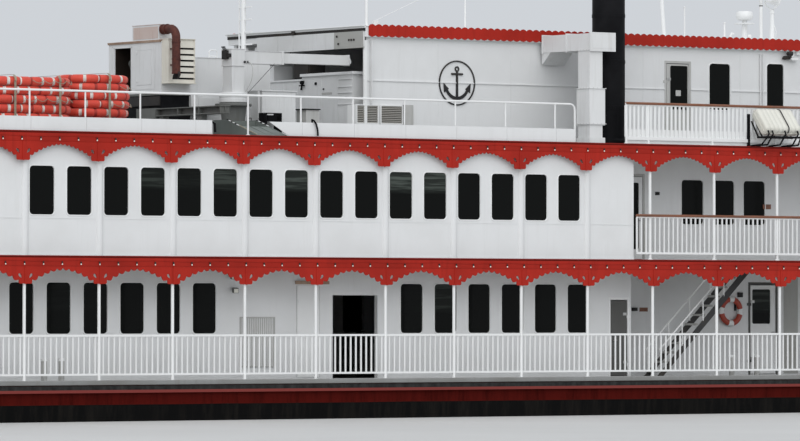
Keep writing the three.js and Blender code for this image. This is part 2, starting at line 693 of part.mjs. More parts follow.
// Third deck: funnel, ducts, rafts, crane, ramp and machinery.
addPart('funnel_starboard', funnel(), 'black', [FUNNEL.x, FUNNEL.y, THIRD_DECK]);
for (const { name, side } of SIDES) {
  addPart(`air_duct_${name}`, airDuct(side), 'white');
  addPart(`life_raft_${name}`, lifeRaft(side), 'cream', [RAFT.x, side * 2630, THIRD_DECK]);
}
const craneAt = [CRANE.x, CRANE.y, 0];
addPart('crane_base', upright(230, CRANE.x, CRANE.y, THIRD_DECK + GAP, CRANE.discLow, 24, 165), 'cover');
addPart('crane_post', craneArm(), 'white', craneAt);
addPart('crane_extension', craneExtension(), 'white', craneAt);
addPart('side_ramp', sideRamp(), 'cover', [0, 0, THIRD_DECK + GAP]);
addPart('generator_plinth', block(
  GENERATOR.aft, GENERATOR.fore, GENERATOR.starboard, GENERATOR.port,
  THIRD_DECK + GAP, THIRD_DECK + GENERATOR.sill - GAP,
), 'steelGrey');
addPart('generator_house', generatorHouse(), 'white');
addPart('louvre_unit', block(
  GENERATOR.aft + LOUVRE_UNIT.aft, GENERATOR.fore + LOUVRE_UNIT.fore,
  GENERATOR.starboard - LOUVRE_UNIT.out, GENERATOR.starboard - GAP,
  THIRD_DECK + LOUVRE_UNIT.low, THIRD_DECK + LOUVRE_UNIT.high,
), 'cream');
addPart('exhaust_pipe', exhaustPipe(), 'rust');
addPart('engine_casing', block(
  GENERATOR.fore + GAP, 760, -500, 500, THIRD_DECK + GAP, THIRD_DECK + 985,
), 'white');
addPart('cooling_plant', join([
  block(1480, 2400, -1200, -140, THIRD_DECK + GAP, THIRD_DECK + 838),
  block(1600, 2400, -150, 900, THIRD_DECK + GAP, THIRD_DECK + 770),
]), 'white');
addPart('life_floats_aft', floatStack(1275, 700, 625), 'orange', [-3660, -1900, THIRD_DECK + GAP]);
addPart('life_floats_fore', floatStack(900, 700, 680), 'orange', [-2550, -1700, THIRD_DECK + GAP]);

// Masts and what stands on the roof.
addPart('ladder_mast', join([
  upright(27, 700, 0, THIRD_DECK + GAP + 985, 7000, 12, 20),
]), 'white');
addPart('roof_mast', upright(28, 0, 0, 0, 2200, 10, 18).rotateY(-0.083), 'white', [7210, 0, ROOF_TOP + 6]);
addPart('radar', join([
  upright(40, 0, 0, GAP, 280, 12, 34),
  upright(135, 0, 0, 276, 290, 16),
  upright(30, 0, 0, 286, 330, 12),
  upright(85, 0, 0, 326, 355, 16),
  upright(110, 0, 0, 353, 445, 16, 102),
]), 'white', [8525, 0, ROOF_TOP]);

// Searchlight: post, yoke with two raised arms, and the lamp on its trunnions between them.
const LIGHT = { x: 8405, y: -700, post: 415, pivot: 180, arm: 150, bar: 15 };
const yokeOutline = [1, -1].flatMap((s) => {
  const run = [
    [s * 30, 22], [s * LIGHT.arm, 95], [s * LIGHT.arm, 205],
    [s * (LIGHT.arm - LIGHT.bar), 205], [s * (LIGHT.arm - LIGHT.bar), 103], [s * 22, 45],
  ];
  return s > 0 ? run : run.reverse();
});
addPart('searchlight_post', upright(60, LIGHT.x, LIGHT.y, ROOF_TOP + GAP, ROOF_TOP + LIGHT.post, 12, 26), 'white');
addPart('searchlight_yoke', join([
  upright(24, 0, 0, GAP, 30, 12),
  profile(yokeOutline, -15, 15).rotateZ(Math.PI / 2),
]), 'white', [LIGHT.x, LIGHT.y, ROOF_TOP + LIGHT.post]);
addPart('searchlight', join([
  new THREE.CylinderGeometry(100, 78, 150, 16).rotateZ(-Math.PI / 2),
  athwart(12, 0, 0, -LIGHT.arm + LIGHT.bar + GAP, LIGHT.arm - LIGHT.bar - GAP, 8),
]), 'white', [LIGHT.x, LIGHT.y, ROOF_TOP + LIGHT.post + LIGHT.pivot]);
addPart('windlass', windlass(), 'steelGrey', [10900, 0, 0]);

export default steamer;
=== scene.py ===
"""Looks of a stern-wheel paddle steamer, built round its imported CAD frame. Metres, bow to +X, port to +Y."""
import json
import math

import bmesh
import bpy
from bpy.props import FloatProperty, FloatVectorProperty, IntProperty, PointerProperty
from mathutils import Vector
from mathutils.geometry import tessellate_polygon
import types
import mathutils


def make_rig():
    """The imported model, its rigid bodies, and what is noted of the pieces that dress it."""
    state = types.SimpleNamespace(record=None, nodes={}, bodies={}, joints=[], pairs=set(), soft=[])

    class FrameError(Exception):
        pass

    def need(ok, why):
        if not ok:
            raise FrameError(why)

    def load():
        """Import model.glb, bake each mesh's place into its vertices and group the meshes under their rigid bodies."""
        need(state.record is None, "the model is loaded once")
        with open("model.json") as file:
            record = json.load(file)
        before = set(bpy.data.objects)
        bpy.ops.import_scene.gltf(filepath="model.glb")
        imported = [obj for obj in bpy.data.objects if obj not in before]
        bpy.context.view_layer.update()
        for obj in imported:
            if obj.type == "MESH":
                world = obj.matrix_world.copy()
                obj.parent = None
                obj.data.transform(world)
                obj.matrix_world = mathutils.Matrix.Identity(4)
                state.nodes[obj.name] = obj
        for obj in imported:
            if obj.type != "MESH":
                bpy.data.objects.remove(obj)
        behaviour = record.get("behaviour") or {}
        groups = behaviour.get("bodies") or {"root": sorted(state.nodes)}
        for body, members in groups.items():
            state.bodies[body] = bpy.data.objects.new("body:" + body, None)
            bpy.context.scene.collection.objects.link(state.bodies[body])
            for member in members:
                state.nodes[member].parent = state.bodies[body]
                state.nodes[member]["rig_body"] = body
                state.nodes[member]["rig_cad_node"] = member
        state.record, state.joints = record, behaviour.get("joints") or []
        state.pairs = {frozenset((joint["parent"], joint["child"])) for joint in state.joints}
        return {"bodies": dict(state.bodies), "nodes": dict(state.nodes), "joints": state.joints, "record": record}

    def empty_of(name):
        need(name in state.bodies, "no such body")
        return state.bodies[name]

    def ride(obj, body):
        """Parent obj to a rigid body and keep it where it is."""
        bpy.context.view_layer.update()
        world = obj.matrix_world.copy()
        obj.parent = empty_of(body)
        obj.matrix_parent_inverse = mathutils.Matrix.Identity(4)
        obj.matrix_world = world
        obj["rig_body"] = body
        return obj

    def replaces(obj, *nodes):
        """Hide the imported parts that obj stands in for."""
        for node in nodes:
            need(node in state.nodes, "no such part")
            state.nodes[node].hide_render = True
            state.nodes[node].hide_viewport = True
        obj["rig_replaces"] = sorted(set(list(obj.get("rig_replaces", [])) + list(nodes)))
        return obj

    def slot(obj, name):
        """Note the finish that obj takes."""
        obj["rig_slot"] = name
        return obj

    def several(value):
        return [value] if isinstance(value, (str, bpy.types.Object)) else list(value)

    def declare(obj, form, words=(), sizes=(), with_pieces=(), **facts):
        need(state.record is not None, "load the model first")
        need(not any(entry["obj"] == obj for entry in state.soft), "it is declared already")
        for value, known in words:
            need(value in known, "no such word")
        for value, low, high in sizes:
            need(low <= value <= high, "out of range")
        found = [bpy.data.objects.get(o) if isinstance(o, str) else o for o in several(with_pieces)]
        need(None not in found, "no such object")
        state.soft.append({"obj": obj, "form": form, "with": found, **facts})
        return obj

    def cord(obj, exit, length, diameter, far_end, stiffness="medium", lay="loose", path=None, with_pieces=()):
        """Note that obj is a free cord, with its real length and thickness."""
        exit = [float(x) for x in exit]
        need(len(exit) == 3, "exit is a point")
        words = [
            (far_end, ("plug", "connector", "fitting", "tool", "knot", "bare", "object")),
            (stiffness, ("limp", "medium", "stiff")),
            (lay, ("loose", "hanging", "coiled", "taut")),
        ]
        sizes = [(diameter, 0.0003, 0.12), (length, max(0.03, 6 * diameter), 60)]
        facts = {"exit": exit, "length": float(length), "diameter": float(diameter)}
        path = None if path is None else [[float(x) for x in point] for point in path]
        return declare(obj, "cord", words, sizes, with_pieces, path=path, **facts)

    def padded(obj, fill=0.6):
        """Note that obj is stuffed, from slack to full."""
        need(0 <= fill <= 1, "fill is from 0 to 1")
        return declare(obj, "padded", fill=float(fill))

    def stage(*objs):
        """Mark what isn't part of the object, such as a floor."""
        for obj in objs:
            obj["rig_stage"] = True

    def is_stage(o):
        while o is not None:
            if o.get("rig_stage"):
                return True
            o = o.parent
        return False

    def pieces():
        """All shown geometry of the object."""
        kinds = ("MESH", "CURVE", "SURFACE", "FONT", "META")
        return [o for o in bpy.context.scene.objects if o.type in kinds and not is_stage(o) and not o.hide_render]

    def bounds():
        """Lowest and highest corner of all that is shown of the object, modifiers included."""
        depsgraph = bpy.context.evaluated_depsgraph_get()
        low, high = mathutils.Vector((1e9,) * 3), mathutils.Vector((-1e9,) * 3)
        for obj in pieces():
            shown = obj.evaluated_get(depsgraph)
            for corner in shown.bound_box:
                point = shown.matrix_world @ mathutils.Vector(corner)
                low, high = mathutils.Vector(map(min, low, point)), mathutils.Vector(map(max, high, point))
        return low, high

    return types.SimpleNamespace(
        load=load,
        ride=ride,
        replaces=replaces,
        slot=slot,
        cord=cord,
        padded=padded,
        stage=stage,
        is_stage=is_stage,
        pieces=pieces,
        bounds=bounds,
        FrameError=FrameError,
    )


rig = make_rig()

bl_info = {
    "name": "Paddle steamer looks",
    "version": (1, 0, 0),
    "blender": (4, 5, 0),
    "location": "View3D > Sidebar > Steamer",
    "description": "Builds the visible pieces of a stern-wheel paddle steamer on its CAD frame",
    "category": "Object",
}

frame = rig.load()
CAD_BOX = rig.bounds()

# Decks and houses, as in the CAD frame.
SIDES = (("starboard", -1), ("port", 1))
MAIN, SECOND, THIRD, ROOF = 1.05, 2.475, 3.88, 5.255
EDGE = 0.12
STERN, SECOND_FORE, THIRD_FORE = -9.3, 10.4, 10.2
SECOND_HALF, THIRD_HALF = 2.55, 2.5
FRONT_ROUND, ROUND_STEPS = 1.5, 12
BAY = 1.0
WALL = 0.06
GAP, TOUCH = 0.0003, 0.0004
WATERLINE = 0.6

# Houses: half breadths, and the aft and forward ends of their walls.
SALOON_HALF, LOBBY_HALF, UPPER_HALF, PROMENADE_HALF, TOP_HALF = 2.025, 1.3, 2.44, 1.7, 1.4
HOUSE_AFT, SALOON_FORE, UPPER_FORE, HOUSE_FORE = -9.2, 5.065, 4.78, 9.0
TOP_AFT, WHEELHOUSE_AFT, TOP_FORE = 1.535, 4.71, 9.3

# Side rails of the main deck, and the funnel's axis and top.
RAIL_Y = 2.53
FUNNEL_X, FUNNEL_Y, FUNNEL_TOP = 4.74, -2.0, 7.5

# Doors: wall half breadth, deck, aft edge, width, height, hinge side (+1 aft, -1 forward).
DOORS = {
    "saloon_door": (SALOON_HALF, MAIN, 4.755, 0.245, 0.915, -1),
    "lobby_door": (LOBBY_HALF, MAIN, 7.55, 0.40, 1.11, 1),
    "promenade_door": (PROMENADE_HALF, SECOND, 5.15, 0.35, 1.01, 1),
    "house_door": (TOP_HALF, THIRD, 6.128, 0.345, 1.025, 1),
}

# Each door's glass, as shares of the leaf's width and height, and the finishes of the leaf and its frame.
DOOR_LOOKS = {
    "saloon_door": (None, "door_grey", "trim_paint"),
    "lobby_door": ((0.06, 0.8, 0.565, 0.955), "trim_paint", "door_grey"),
    "promenade_door": ((0.22, 0.84, 0.12, 0.93), "trim_paint", "pale_grey"),
    "house_door": ((0.145, 0.955, 0.45, 0.98), "pale_grey", "pale_grey"),
}
SILL = 0.02
LEAF_GAP = 0.008
LEAF = 0.024


# Settings

def size(name, description, default, low=0.001, high=5.0):
    return FloatProperty(name=name, description=description, default=default, min=low, max=high,
                         unit="LENGTH")


def tint(name, description, default):
    return FloatVectorProperty(name=name, description=description, default=default, min=0, max=1, size=3,
                               subtype="COLOR")


class SteamerSizes(bpy.types.PropertyGroup):
    baluster_pitch: size("Baluster pitch", "From one rail baluster to the next", 0.0735)
    baluster_width: size("Baluster width", "Width of one rail baluster", 0.018)
    window_round: size("Window corner", "Radius of a window's corners", 0.045)
    frame_width: size("Window frame", "Width of a window's raised frame", 0.014)
    bulb_pitch: size("Bulb pitch", "From one deck edge bulb to the next", 0.25)
    tooth_pitch: size("Tooth pitch", "From one roof edge tooth to the next", 0.0985)
    slat_pitch: size("Slat pitch", "From one louvre slat to the next", 0.021)
    upper_lobes: IntProperty(name="Upper lobes", description="Scallops on half an upper arch", default=7,
                             min=3)
    lower_lobes: IntProperty(name="Lower lobes", description="Scallops on half a lower arch", default=5,
                             min=3)


class SteamerColours(bpy.types.PropertyGroup):
    white: tint("White", "Paint of the houses", (0.755, 0.76, 0.76))
    trim: tint("Trim", "Paint of rails and frames", (0.83, 0.835, 0.83))
    red: tint("Red", "Paint of the deck edges", (0.42, 0.024, 0.014))
    black: tint("Black", "Paint of the funnel", (0.006, 0.006, 0.007))
    hull_red: tint("Hull red", "Paint under the rubbing strake", (0.075, 0.006, 0.004))
    wood: tint("Handrail", "Varnished handrail", (0.26, 0.085, 0.032))
    floats: tint("Float cloth", "Cloth of the life floats", (0.62, 0.036, 0.018))


# Finishes

FINISHES = {}


def colour(value):
    """A socket as it is, or a plain colour with its alpha."""
    return value if isinstance(value, bpy.types.NodeSocket) else (*value[:3], 1.0)


def add_node(tree, kind, links, settings):
    """A new node with its settings, its inputs linked to sockets or set to values."""
    node = tree.nodes.new(kind)
    for key, value in settings.items():
        setattr(node, key, value)
    for key, value in (links or {}).items():
        if isinstance(value, bpy.types.NodeSocket):
            tree.links.new(value, node.inputs[key])
        else:
            node.inputs[key].default_value = value
    return node


def scaled(rgb, share):
    """A colour made darker."""
    return tuple(c * share for c in rgb)


def gleam(level):
    """How strongly a finish mirrors, as a setting of its shader."""
    return {"Specular IOR Level": level}


class Shader:
    """A material under way: nodes are added and linked in one call each."""

    def __init__(self, name):
        self.name = name
        self.material = bpy.data.materials.new("steamer_" + name)
        self.material.use_nodes = True
        self.tree = self.material.node_tree
        self.tree.nodes.clear()
        self.out = self.node("ShaderNodeOutputMaterial")
        self.place = self.node("ShaderNodeTexCoord").outputs["Object"]

    def node(self, kind, links=None, **settings):
        return add_node(self.tree, kind, links, settings)

    def noise(self, scale, detail=4, rough=0.55, stretch=(1, 1, 1), distortion=0.0):
        at = self.node("ShaderNodeMapping", {"Vector": self.place, "Scale": stretch})
        return self.node("ShaderNodeTexNoise", {
            "Vector": at.outputs[0], "Scale": scale, "Detail": detail, "Roughness": rough,
            "Distortion": distortion,
        }).outputs["Fac"]

    def span(self, value, low, high, to_low=0.0, to_high=1.0):
        return self.node("ShaderNodeMapRange", {
            "Value": value, "From Min": low, "From Max": high, "To Min": to_low, "To Max": to_high,
        }).outputs[0]

    def mix(self, share, first, second):
        return self.node("ShaderNodeMix", {0: share, 6: colour(first), 7: colour(second)},
                         data_type="RGBA").outputs[2]

    def math(self, operation, *values):
        return self.node("ShaderNodeMath", dict(enumerate(values)), operation=operation).outputs[0]

    def axis(self, index):
        split = self.node("ShaderNodeSeparateXYZ", {"Vector": self.place})
        return split.outputs[index]

    def bump(self, height, distance=0.001, strength=0.5):
        return self.node("ShaderNodeBump", {
            "Height": height, "Distance": distance, "Strength": strength,
        }).outputs[0]

    def done(self, tone, rough, normal=None, **constants):
        links = {"Base Color": colour(tone), "Roughness": rough, **constants}
        if normal is not None:
            links["Normal"] = normal
        shader = self.node("ShaderNodeBsdfPrincipled", links)
        self.tree.links.new(shader.outputs[0], self.out.inputs[0])
        FINISHES[self.name] = self.material


def paint(name, base, rough=0.4, soil=(0.25, 0.23, 0.2), blotch=0.12, streak=0.15, orange_peel=0.15,
          **constants):
    """Brushed ship's paint: slight patches, vertical weather streaks, and a fine uneven surface."""
    shader = Shader(name)
    patches = shader.span(shader.noise(1.7, 5), 0.42, 0.72, 0, blotch)
    streaks = shader.span(shader.noise(2.2, 6, 0.65, (7, 7, 0.5)), 0.5, 0.78, 0, streak)
    share = shader.math("MAXIMUM", patches, streaks)
    tone = shader.mix(share, base, soil)
    gloss = shader.span(shader.noise(9, 3), 0.3, 0.7, rough - 0.06, rough + 0.1)
    fine = shader.noise(260, 2)
    broad = shader.noise(14, 3)
    height = shader.math("ADD", shader.math("MULTIPLY", fine, 0.2), broad)
    shader.done(tone, gloss, shader.bump(height, 0.0012, orange_peel), **constants)


def make_finishes(colours):
    white, trim, red = tuple(colours.white), tuple(colours.trim), tuple(colours.red)
    paint("white_paint", white, 0.42, (0.42, 0.41, 0.38), 0.14, 0.14)
    paint("trim_paint", trim, 0.35, (0.5, 0.48, 0.44), 0.12, 0.12)
    paint("plant_paint", scaled(white, 0.95), 0.5, (0.30, 0.28, 0.24), 0.2, 0.3)
    paint("cream_paint", (0.74, 0.72, 0.64), 0.5, (0.36, 0.22, 0.12), 0.25, 0.4)
    dull, low = gleam(0.12), gleam(0.05)
    paint("red_paint", red, 0.42, scaled(red, 0.45), 0.45, 0.5, **dull)
    # A darker red: painted shade, for the thin dark line along the top edge of the deck bands.
    paint("red_shade", scaled(red, 0.5), 0.5, scaled(red, 0.25), 0.4, 0.4, **dull)
    paint("wheel_red", scaled(red, 0.8), 0.5, (0.08, 0.03, 0.018), 0.6, 0.5, **dull)
    planks(scaled(red, 0.85))
    paint("black_paint", tuple(colours.black), 0.5, (0.02, 0.02, 0.022), 0.6, 0.5, **low)
    paint("timber_black", (0.014, 0.013, 0.013), 0.6, (0.05, 0.042, 0.034), 0.6, 0.6, **low)
    paint("dark_steel", (0.028, 0.028, 0.03), 0.5, (0.07, 0.055, 0.04), 0.5, 0.4, **dull)
    paint("stair_grey", (0.055, 0.055, 0.056), 0.5, (0.11, 0.09, 0.07), 0.4, 0.4, **dull)
    paint("gear_grey", (0.15, 0.155, 0.148), 0.55, (0.075, 0.068, 0.058), 0.5, 0.5, **dull)
    paint("door_grey", (0.115, 0.115, 0.11), 0.5, (0.07, 0.068, 0.06), 0.4, 0.4, **dull)
    paint("duct_paint", scaled(white, 0.97), 0.42, (0.40, 0.38, 0.34), 0.15, 0.35)
    paint("crane_paint", scaled(white, 0.9), 0.45, (0.36, 0.34, 0.30), 0.25, 0.3)
    paint("pink_primer", (0.60, 0.50, 0.46), 0.6, (0.34, 0.17, 0.09), 0.3, 0.6)
    paint("rust_streaked", (0.42, 0.30, 0.22), 0.7, (0.14, 0.045, 0.02), 0.75, 0.8)
    # Near-black: painted shade of the dark inside of the open generator room.
    paint("soot", (0.022, 0.017, 0.014), 0.8, (0.05, 0.035, 0.025), 0.5, 0.5, **low)
    paint("header_grey", (0.42, 0.42, 0.40), 0.5, (0.2, 0.18, 0.15), 0.3, 0.3)
    paint("louvre_beige", (0.40, 0.39, 0.36), 0.55, (0.24, 0.22, 0.18), 0.4, 0.5)
    paint("buoy_orange", (0.44, 0.055, 0.028), 0.42, (0.2, 0.04, 0.02), 0.4, 0.3)
    rubber()
    # Pale cloth for the floats' pinches is a painted highlight; the darker red cloth after it is painted shade in the
    # pinches.
    cloth("white_tape", (0.78, 0.75, 0.70), 0.5)
    cloth("float_dark", (0.42, 0.028, 0.016), 0.6)
    cloth("webbing", (0.34, 0.30, 0.22), 0.8)
    paint("grey_paint", (0.26, 0.265, 0.26), 0.5, (0.14, 0.13, 0.11), 0.5, 0.5)
    paint("pale_grey", (0.5, 0.5, 0.485), 0.5, (0.24, 0.22, 0.19), 0.4, 0.5)
    paint("raft_case", (0.74, 0.73, 0.66), 0.38, (0.4, 0.36, 0.28), 0.3, 0.4)
    rust()
    deck_paint()
    hull_paint(tuple(colours.hull_red))
    strake_paint()
    glass()
    varnish(tuple(colours.wood))
    float_cloth(tuple(colours.floats))
    paint("ramp_paint", (0.165, 0.19, 0.175), 0.55, (0.09, 0.09, 0.08), 0.4, 0.4)
    lamp()
    metal("bright_metal", (0.55, 0.55, 0.54), 0.3)
    rope()


def planks(red):
    """Painted timber: grain along the boards, worn to grey wood in places."""
    shader = Shader("wheel_board")
    grain = shader.noise(6, 9, 0.65, (9, 0.7, 9), 0.8)
    worn = shader.mix(shader.span(shader.noise(5, 6, 0.7), 0.5, 0.68), red, (0.12, 0.085, 0.06))
    tone = shader.mix(shader.span(grain, 0.4, 0.7, 0, 0.6), worn, scaled(red, 0.4))
    shader.done(tone, 0.6, shader.bump(grain, 0.003, 0.5), **gleam(0.25))


def rubber():
    shader = Shader("black_rubber")
    marks = shader.noise(60, 5, 0.7)
    shader.done(shader.mix(marks, (0.012, 0.012, 0.013), (0.035, 0.034, 0.033)),
                shader.span(marks, 0.3, 0.7, 0.5, 0.75), shader.bump(marks, 0.0006, 0.3), **gleam(0.3))


def cloth(name, tone, rough):
    """Woven tape or cloth, slightly faded in patches."""
    shader = Shader(name)
    faded = shader.mix(shader.span(shader.noise(12, 4, 0.6), 0.35, 0.7), tone, scaled(tone, 0.65))
    weave = shader.noise(900, 1)
    shader.done(faded, rough, shader.bump(weave, 0.0015, 0.5), **{"Sheen Weight": 0.1})


def rust():
    shader = Shader("rust_pipe")
    tone = shader.mix(shader.span(shader.noise(22, 8, 0.7), 0.35, 0.7), (0.05, 0.011, 0.008),
                      (0.125, 0.03, 0.016))
    height = shader.noise(90, 6, 0.7)
    shader.done(tone, shader.span(height, 0.3, 0.7, 0.6, 0.9), shader.bump(height, 0.002, 0.6))


def deck_paint():
    """Grey deck paint on the walking surface; below the plate a darker brown-grey, painted shade of the ceiling."""
    shader = Shader("deck_paint")
    facing = shader.node("ShaderNodeSeparateXYZ",
                         {"Vector": shader.node("ShaderNodeNewGeometry").outputs["Normal"]})
    top = shader.math("GREATER_THAN", facing.outputs[2], 0.5)
    worn = shader.mix(shader.span(shader.noise(3, 8, 0.7), 0.4, 0.7), (0.30, 0.31, 0.305),
                      (0.18, 0.18, 0.172))
    # Faces that do not face up take (0.24, 0.22, 0.19): painted shade under the deck plates, not a paint of their own.
    tone = shader.mix(top, (0.24, 0.22, 0.19), worn)
    grit = shader.noise(420, 2)
    shader.done(tone, shader.span(top, 0, 1, 0.55, 0.8), shader.bump(grit, 0.001, 0.3))


def hull_paint(red):
    """Black hull with a dark red band under the strake."""
    shader = Shader("hull_paint")
    z = shader.math("ADD", shader.axis(2), shader.span(shader.noise(1.2, 3), 0, 1, -0.006, 0.006))
    grime = shader.span(shader.noise(2.5, 7, 0.7, (4, 4, 0.5)), 0.45, 0.75)
    upper = shader.mix(grime, red, scaled(red, 0.4))
    lower = shader.mix(grime, (0.005, 0.005, 0.005), (0.016, 0.014, 0.012))
    tone = shader.mix(shader.math("GREATER_THAN", z, 0.79), lower, upper)
    dents = shader.noise(1.1, 2)
    shader.done(tone, shader.span(grime, 0, 1, 0.55, 0.75), shader.bump(dents, 0.02, 0.25), **gleam(0.03))


def strake_paint():
    shader = Shader("strake_paint")
    worn = shader.noise(5, 6, 0.7, (2, 2, 1))
    tone = shader.mix(shader.math("GREATER_THAN", shader.axis(2), 0.958),
                      (0.21, 0.04, 0.034),
                      shader.mix(shader.span(worn, 0.4, 0.7), (0.012, 0.012, 0.012), (0.04, 0.04, 0.038)))
    shader.done(tone, 0.6, shader.bump(worn, 0.002, 0.4), **gleam(0.15))


def glass():
    """Dark tinted panes: some take a painted reflection of pale daylight in their upper part, each pane on its own."""
    shader = Shader("window_glass")
    pane = shader.math("FLOOR", shader.math("MULTIPLY", shader.axis(0), 2.0))
    deck = shader.math("FLOOR", shader.math("MULTIPLY", shader.axis(2), 0.7))
    both = shader.node("ShaderNodeCombineXYZ", {"X": pane, "Y": deck})
    chance = shader.node("ShaderNodeTexWhiteNoise", {"Vector": both.outputs[0]},
                         noise_dimensions="2D").outputs[0]
    painted_reflection_pane = shader.span(chance, 0.62, 1.0, 0.0, 1.0)
    bars = shader.span(shader.noise(3, 3, 0.6, (0.4, 0.4, 9)), 0.46, 0.6)
    top = shader.math("FRACT", shader.math("DIVIDE", shader.math("SUBTRACT", shader.axis(2), 2.475), 1.405))
    upper = shader.span(top, 0.54, 0.60)
    share = shader.math("MULTIPLY", shader.math("MULTIPLY", painted_reflection_pane, upper),
                        shader.span(bars, 0, 1, 0.25, 1.0))
    # The pale greenish colour in the upper part of the chosen panes, broken by bars, is a painted reflection.
    tone = shader.mix(share, (0.003, 0.0035, 0.003), (0.085, 0.10, 0.088))
    shader.done(tone, 0.14, None, **gleam(0.10))


def varnish(wood):
    shader = Shader("varnished_wood")
    grain = shader.noise(9, 8, 0.6, (0.6, 9, 9), 1.5)
    tone = shader.mix(shader.span(grain, 0.35, 0.65), wood, scaled(wood, 0.45))
    shader.done(tone, 0.3, shader.bump(grain, 0.001, 0.2), **{"Coat Weight": 0.4, "Coat Roughness": 0.15})


def float_cloth(tone):
    shader = Shader("float_cloth")
    sun = shader.mix(shader.span(shader.noise(4, 6, 0.7), 0.35, 0.7), tone, (0.72, 0.085, 0.045))
    weave = shader.math("ADD", shader.noise(600, 1), shader.math("MULTIPLY", shader.noise(26, 4), 0.8))
    shader.done(sun, 0.55, shader.bump(weave, 0.004, 0.5), **{"Sheen Weight": 0.15})


def lamp():
    shader = Shader("lamp_glass")
    milk = shader.mix(shader.span(shader.noise(30, 2), 0.3, 0.7), (0.9, 0.88, 0.8), (0.8, 0.78, 0.7))
    shader.done(milk, 0.2, None, **gleam(0.6))


def metal(name, tone, rough):
    shader = Shader(name)
    marks = shader.noise(40, 6, 0.7)
    shader.done(shader.mix(marks, tone, scaled(tone, 0.7)), shader.span(marks, 0.3, 0.7, rough, rough + 0.2),
                shader.bump(marks, 0.0006, 0.3), Metallic=0.9)


def rope():
    shader = Shader("rope_fibre")
    lay = shader.noise(180, 3, 0.6)
    shader.done(shader.mix(lay, (0.5, 0.46, 0.36), (0.22, 0.19, 0.13)), 0.85, shader.bump(lay, 0.002, 0.7))


# Shaping

def circle(centre, radius, count, start=0.0, turn=2 * math.pi, radius_v=None):
    """Points of an arc or ellipse in a flat shape."""
    step = turn / (count if abs(turn) > 6.28 else count - 1)
    return [(centre[0] + radius * math.cos(start + i * step),
             centre[1] + (radius_v or radius) * math.sin(start + i * step)) for i in range(count)]


def rounded(u0, u1, v0, v1, radius, steps=5):
    """Outline of a rectangle with round corners, anticlockwise."""
    corners = ((u1 - radius, v0 + radius, -0.5), (u1 - radius, v1 - radius, 0.0),
               (u0 + radius, v1 - radius, 0.5), (u0 + radius, v0 + radius, 1.0))
    return [p for u, v, turn in corners for p in circle((u, v), radius, steps, turn * math.pi, math.pi / 2)]


def rectangle(u0, u1, v0, v1):
    return [(u0, v0), (u1, v0), (u1, v1), (u0, v1)]


def side_wall(side, half):
    """Places a flat shape on a side wall: u runs forward, v up, w inward."""
    return lambda u, v, w: (u, side * (half - w), v)


def end_wall(x, out):
    """Places a flat shape on an end wall: u runs to port, v up, w inward."""
    return lambda u, v, w: (x - out * w, u, v)


def upright(x, y, z):
    """Places a turned shape on a vertical axis."""
    return lambda a, b, h: (x + a, y + b, z + h)


def athwart(x, y, z):
    """Places a turned shape on an axis that runs to port."""
    return lambda a, b, h: (x + a, y + h, z + b)


def along(x, y, z):
    """Places a turned shape on an axis that runs forward."""
    return lambda a, b, h: (x + h, y + a, z + b)


def crosswise(u, v, w):
    """Places a flat shape that stands athwart: u runs to port, v up, w forward."""
    return (w, u, v)


def about(middle, half):
    """Both edges of what lies evenly about a middle."""
    return (middle - half, middle + half)


def laid(place):
    """Lets a box on a wall be given as along, inward and up."""
    return lambda ahead, inward, up: place(ahead, up, inward)


def rod(radius, low, high):
    """Profile of a plain round bar or disc between two heights."""
    return [(0, low), (radius, low), (radius, high), (0, high)]


def swell(value, power):
    """A sine or cosine pushed outwards, with its sign kept."""
    return math.copysign(abs(value) ** power, value)


def bezier(a, b, c, d, count):
    """Points of a smooth curve from a to d, drawn towards b and c."""
    points = []
    for i in range(count):
        t = i / (count - 1)
        weights = ((1 - t) ** 3, 3 * t * (1 - t) ** 2, 3 * t * t * (1 - t), t ** 3)
        points.append(tuple(sum(w * p[k] for w, p in zip(weights, (a, b, c, d))) for k in range(3)))
    return points


def path_length(path):
    return sum(math.dist(a, b) for a, b in zip(path, path[1:]))


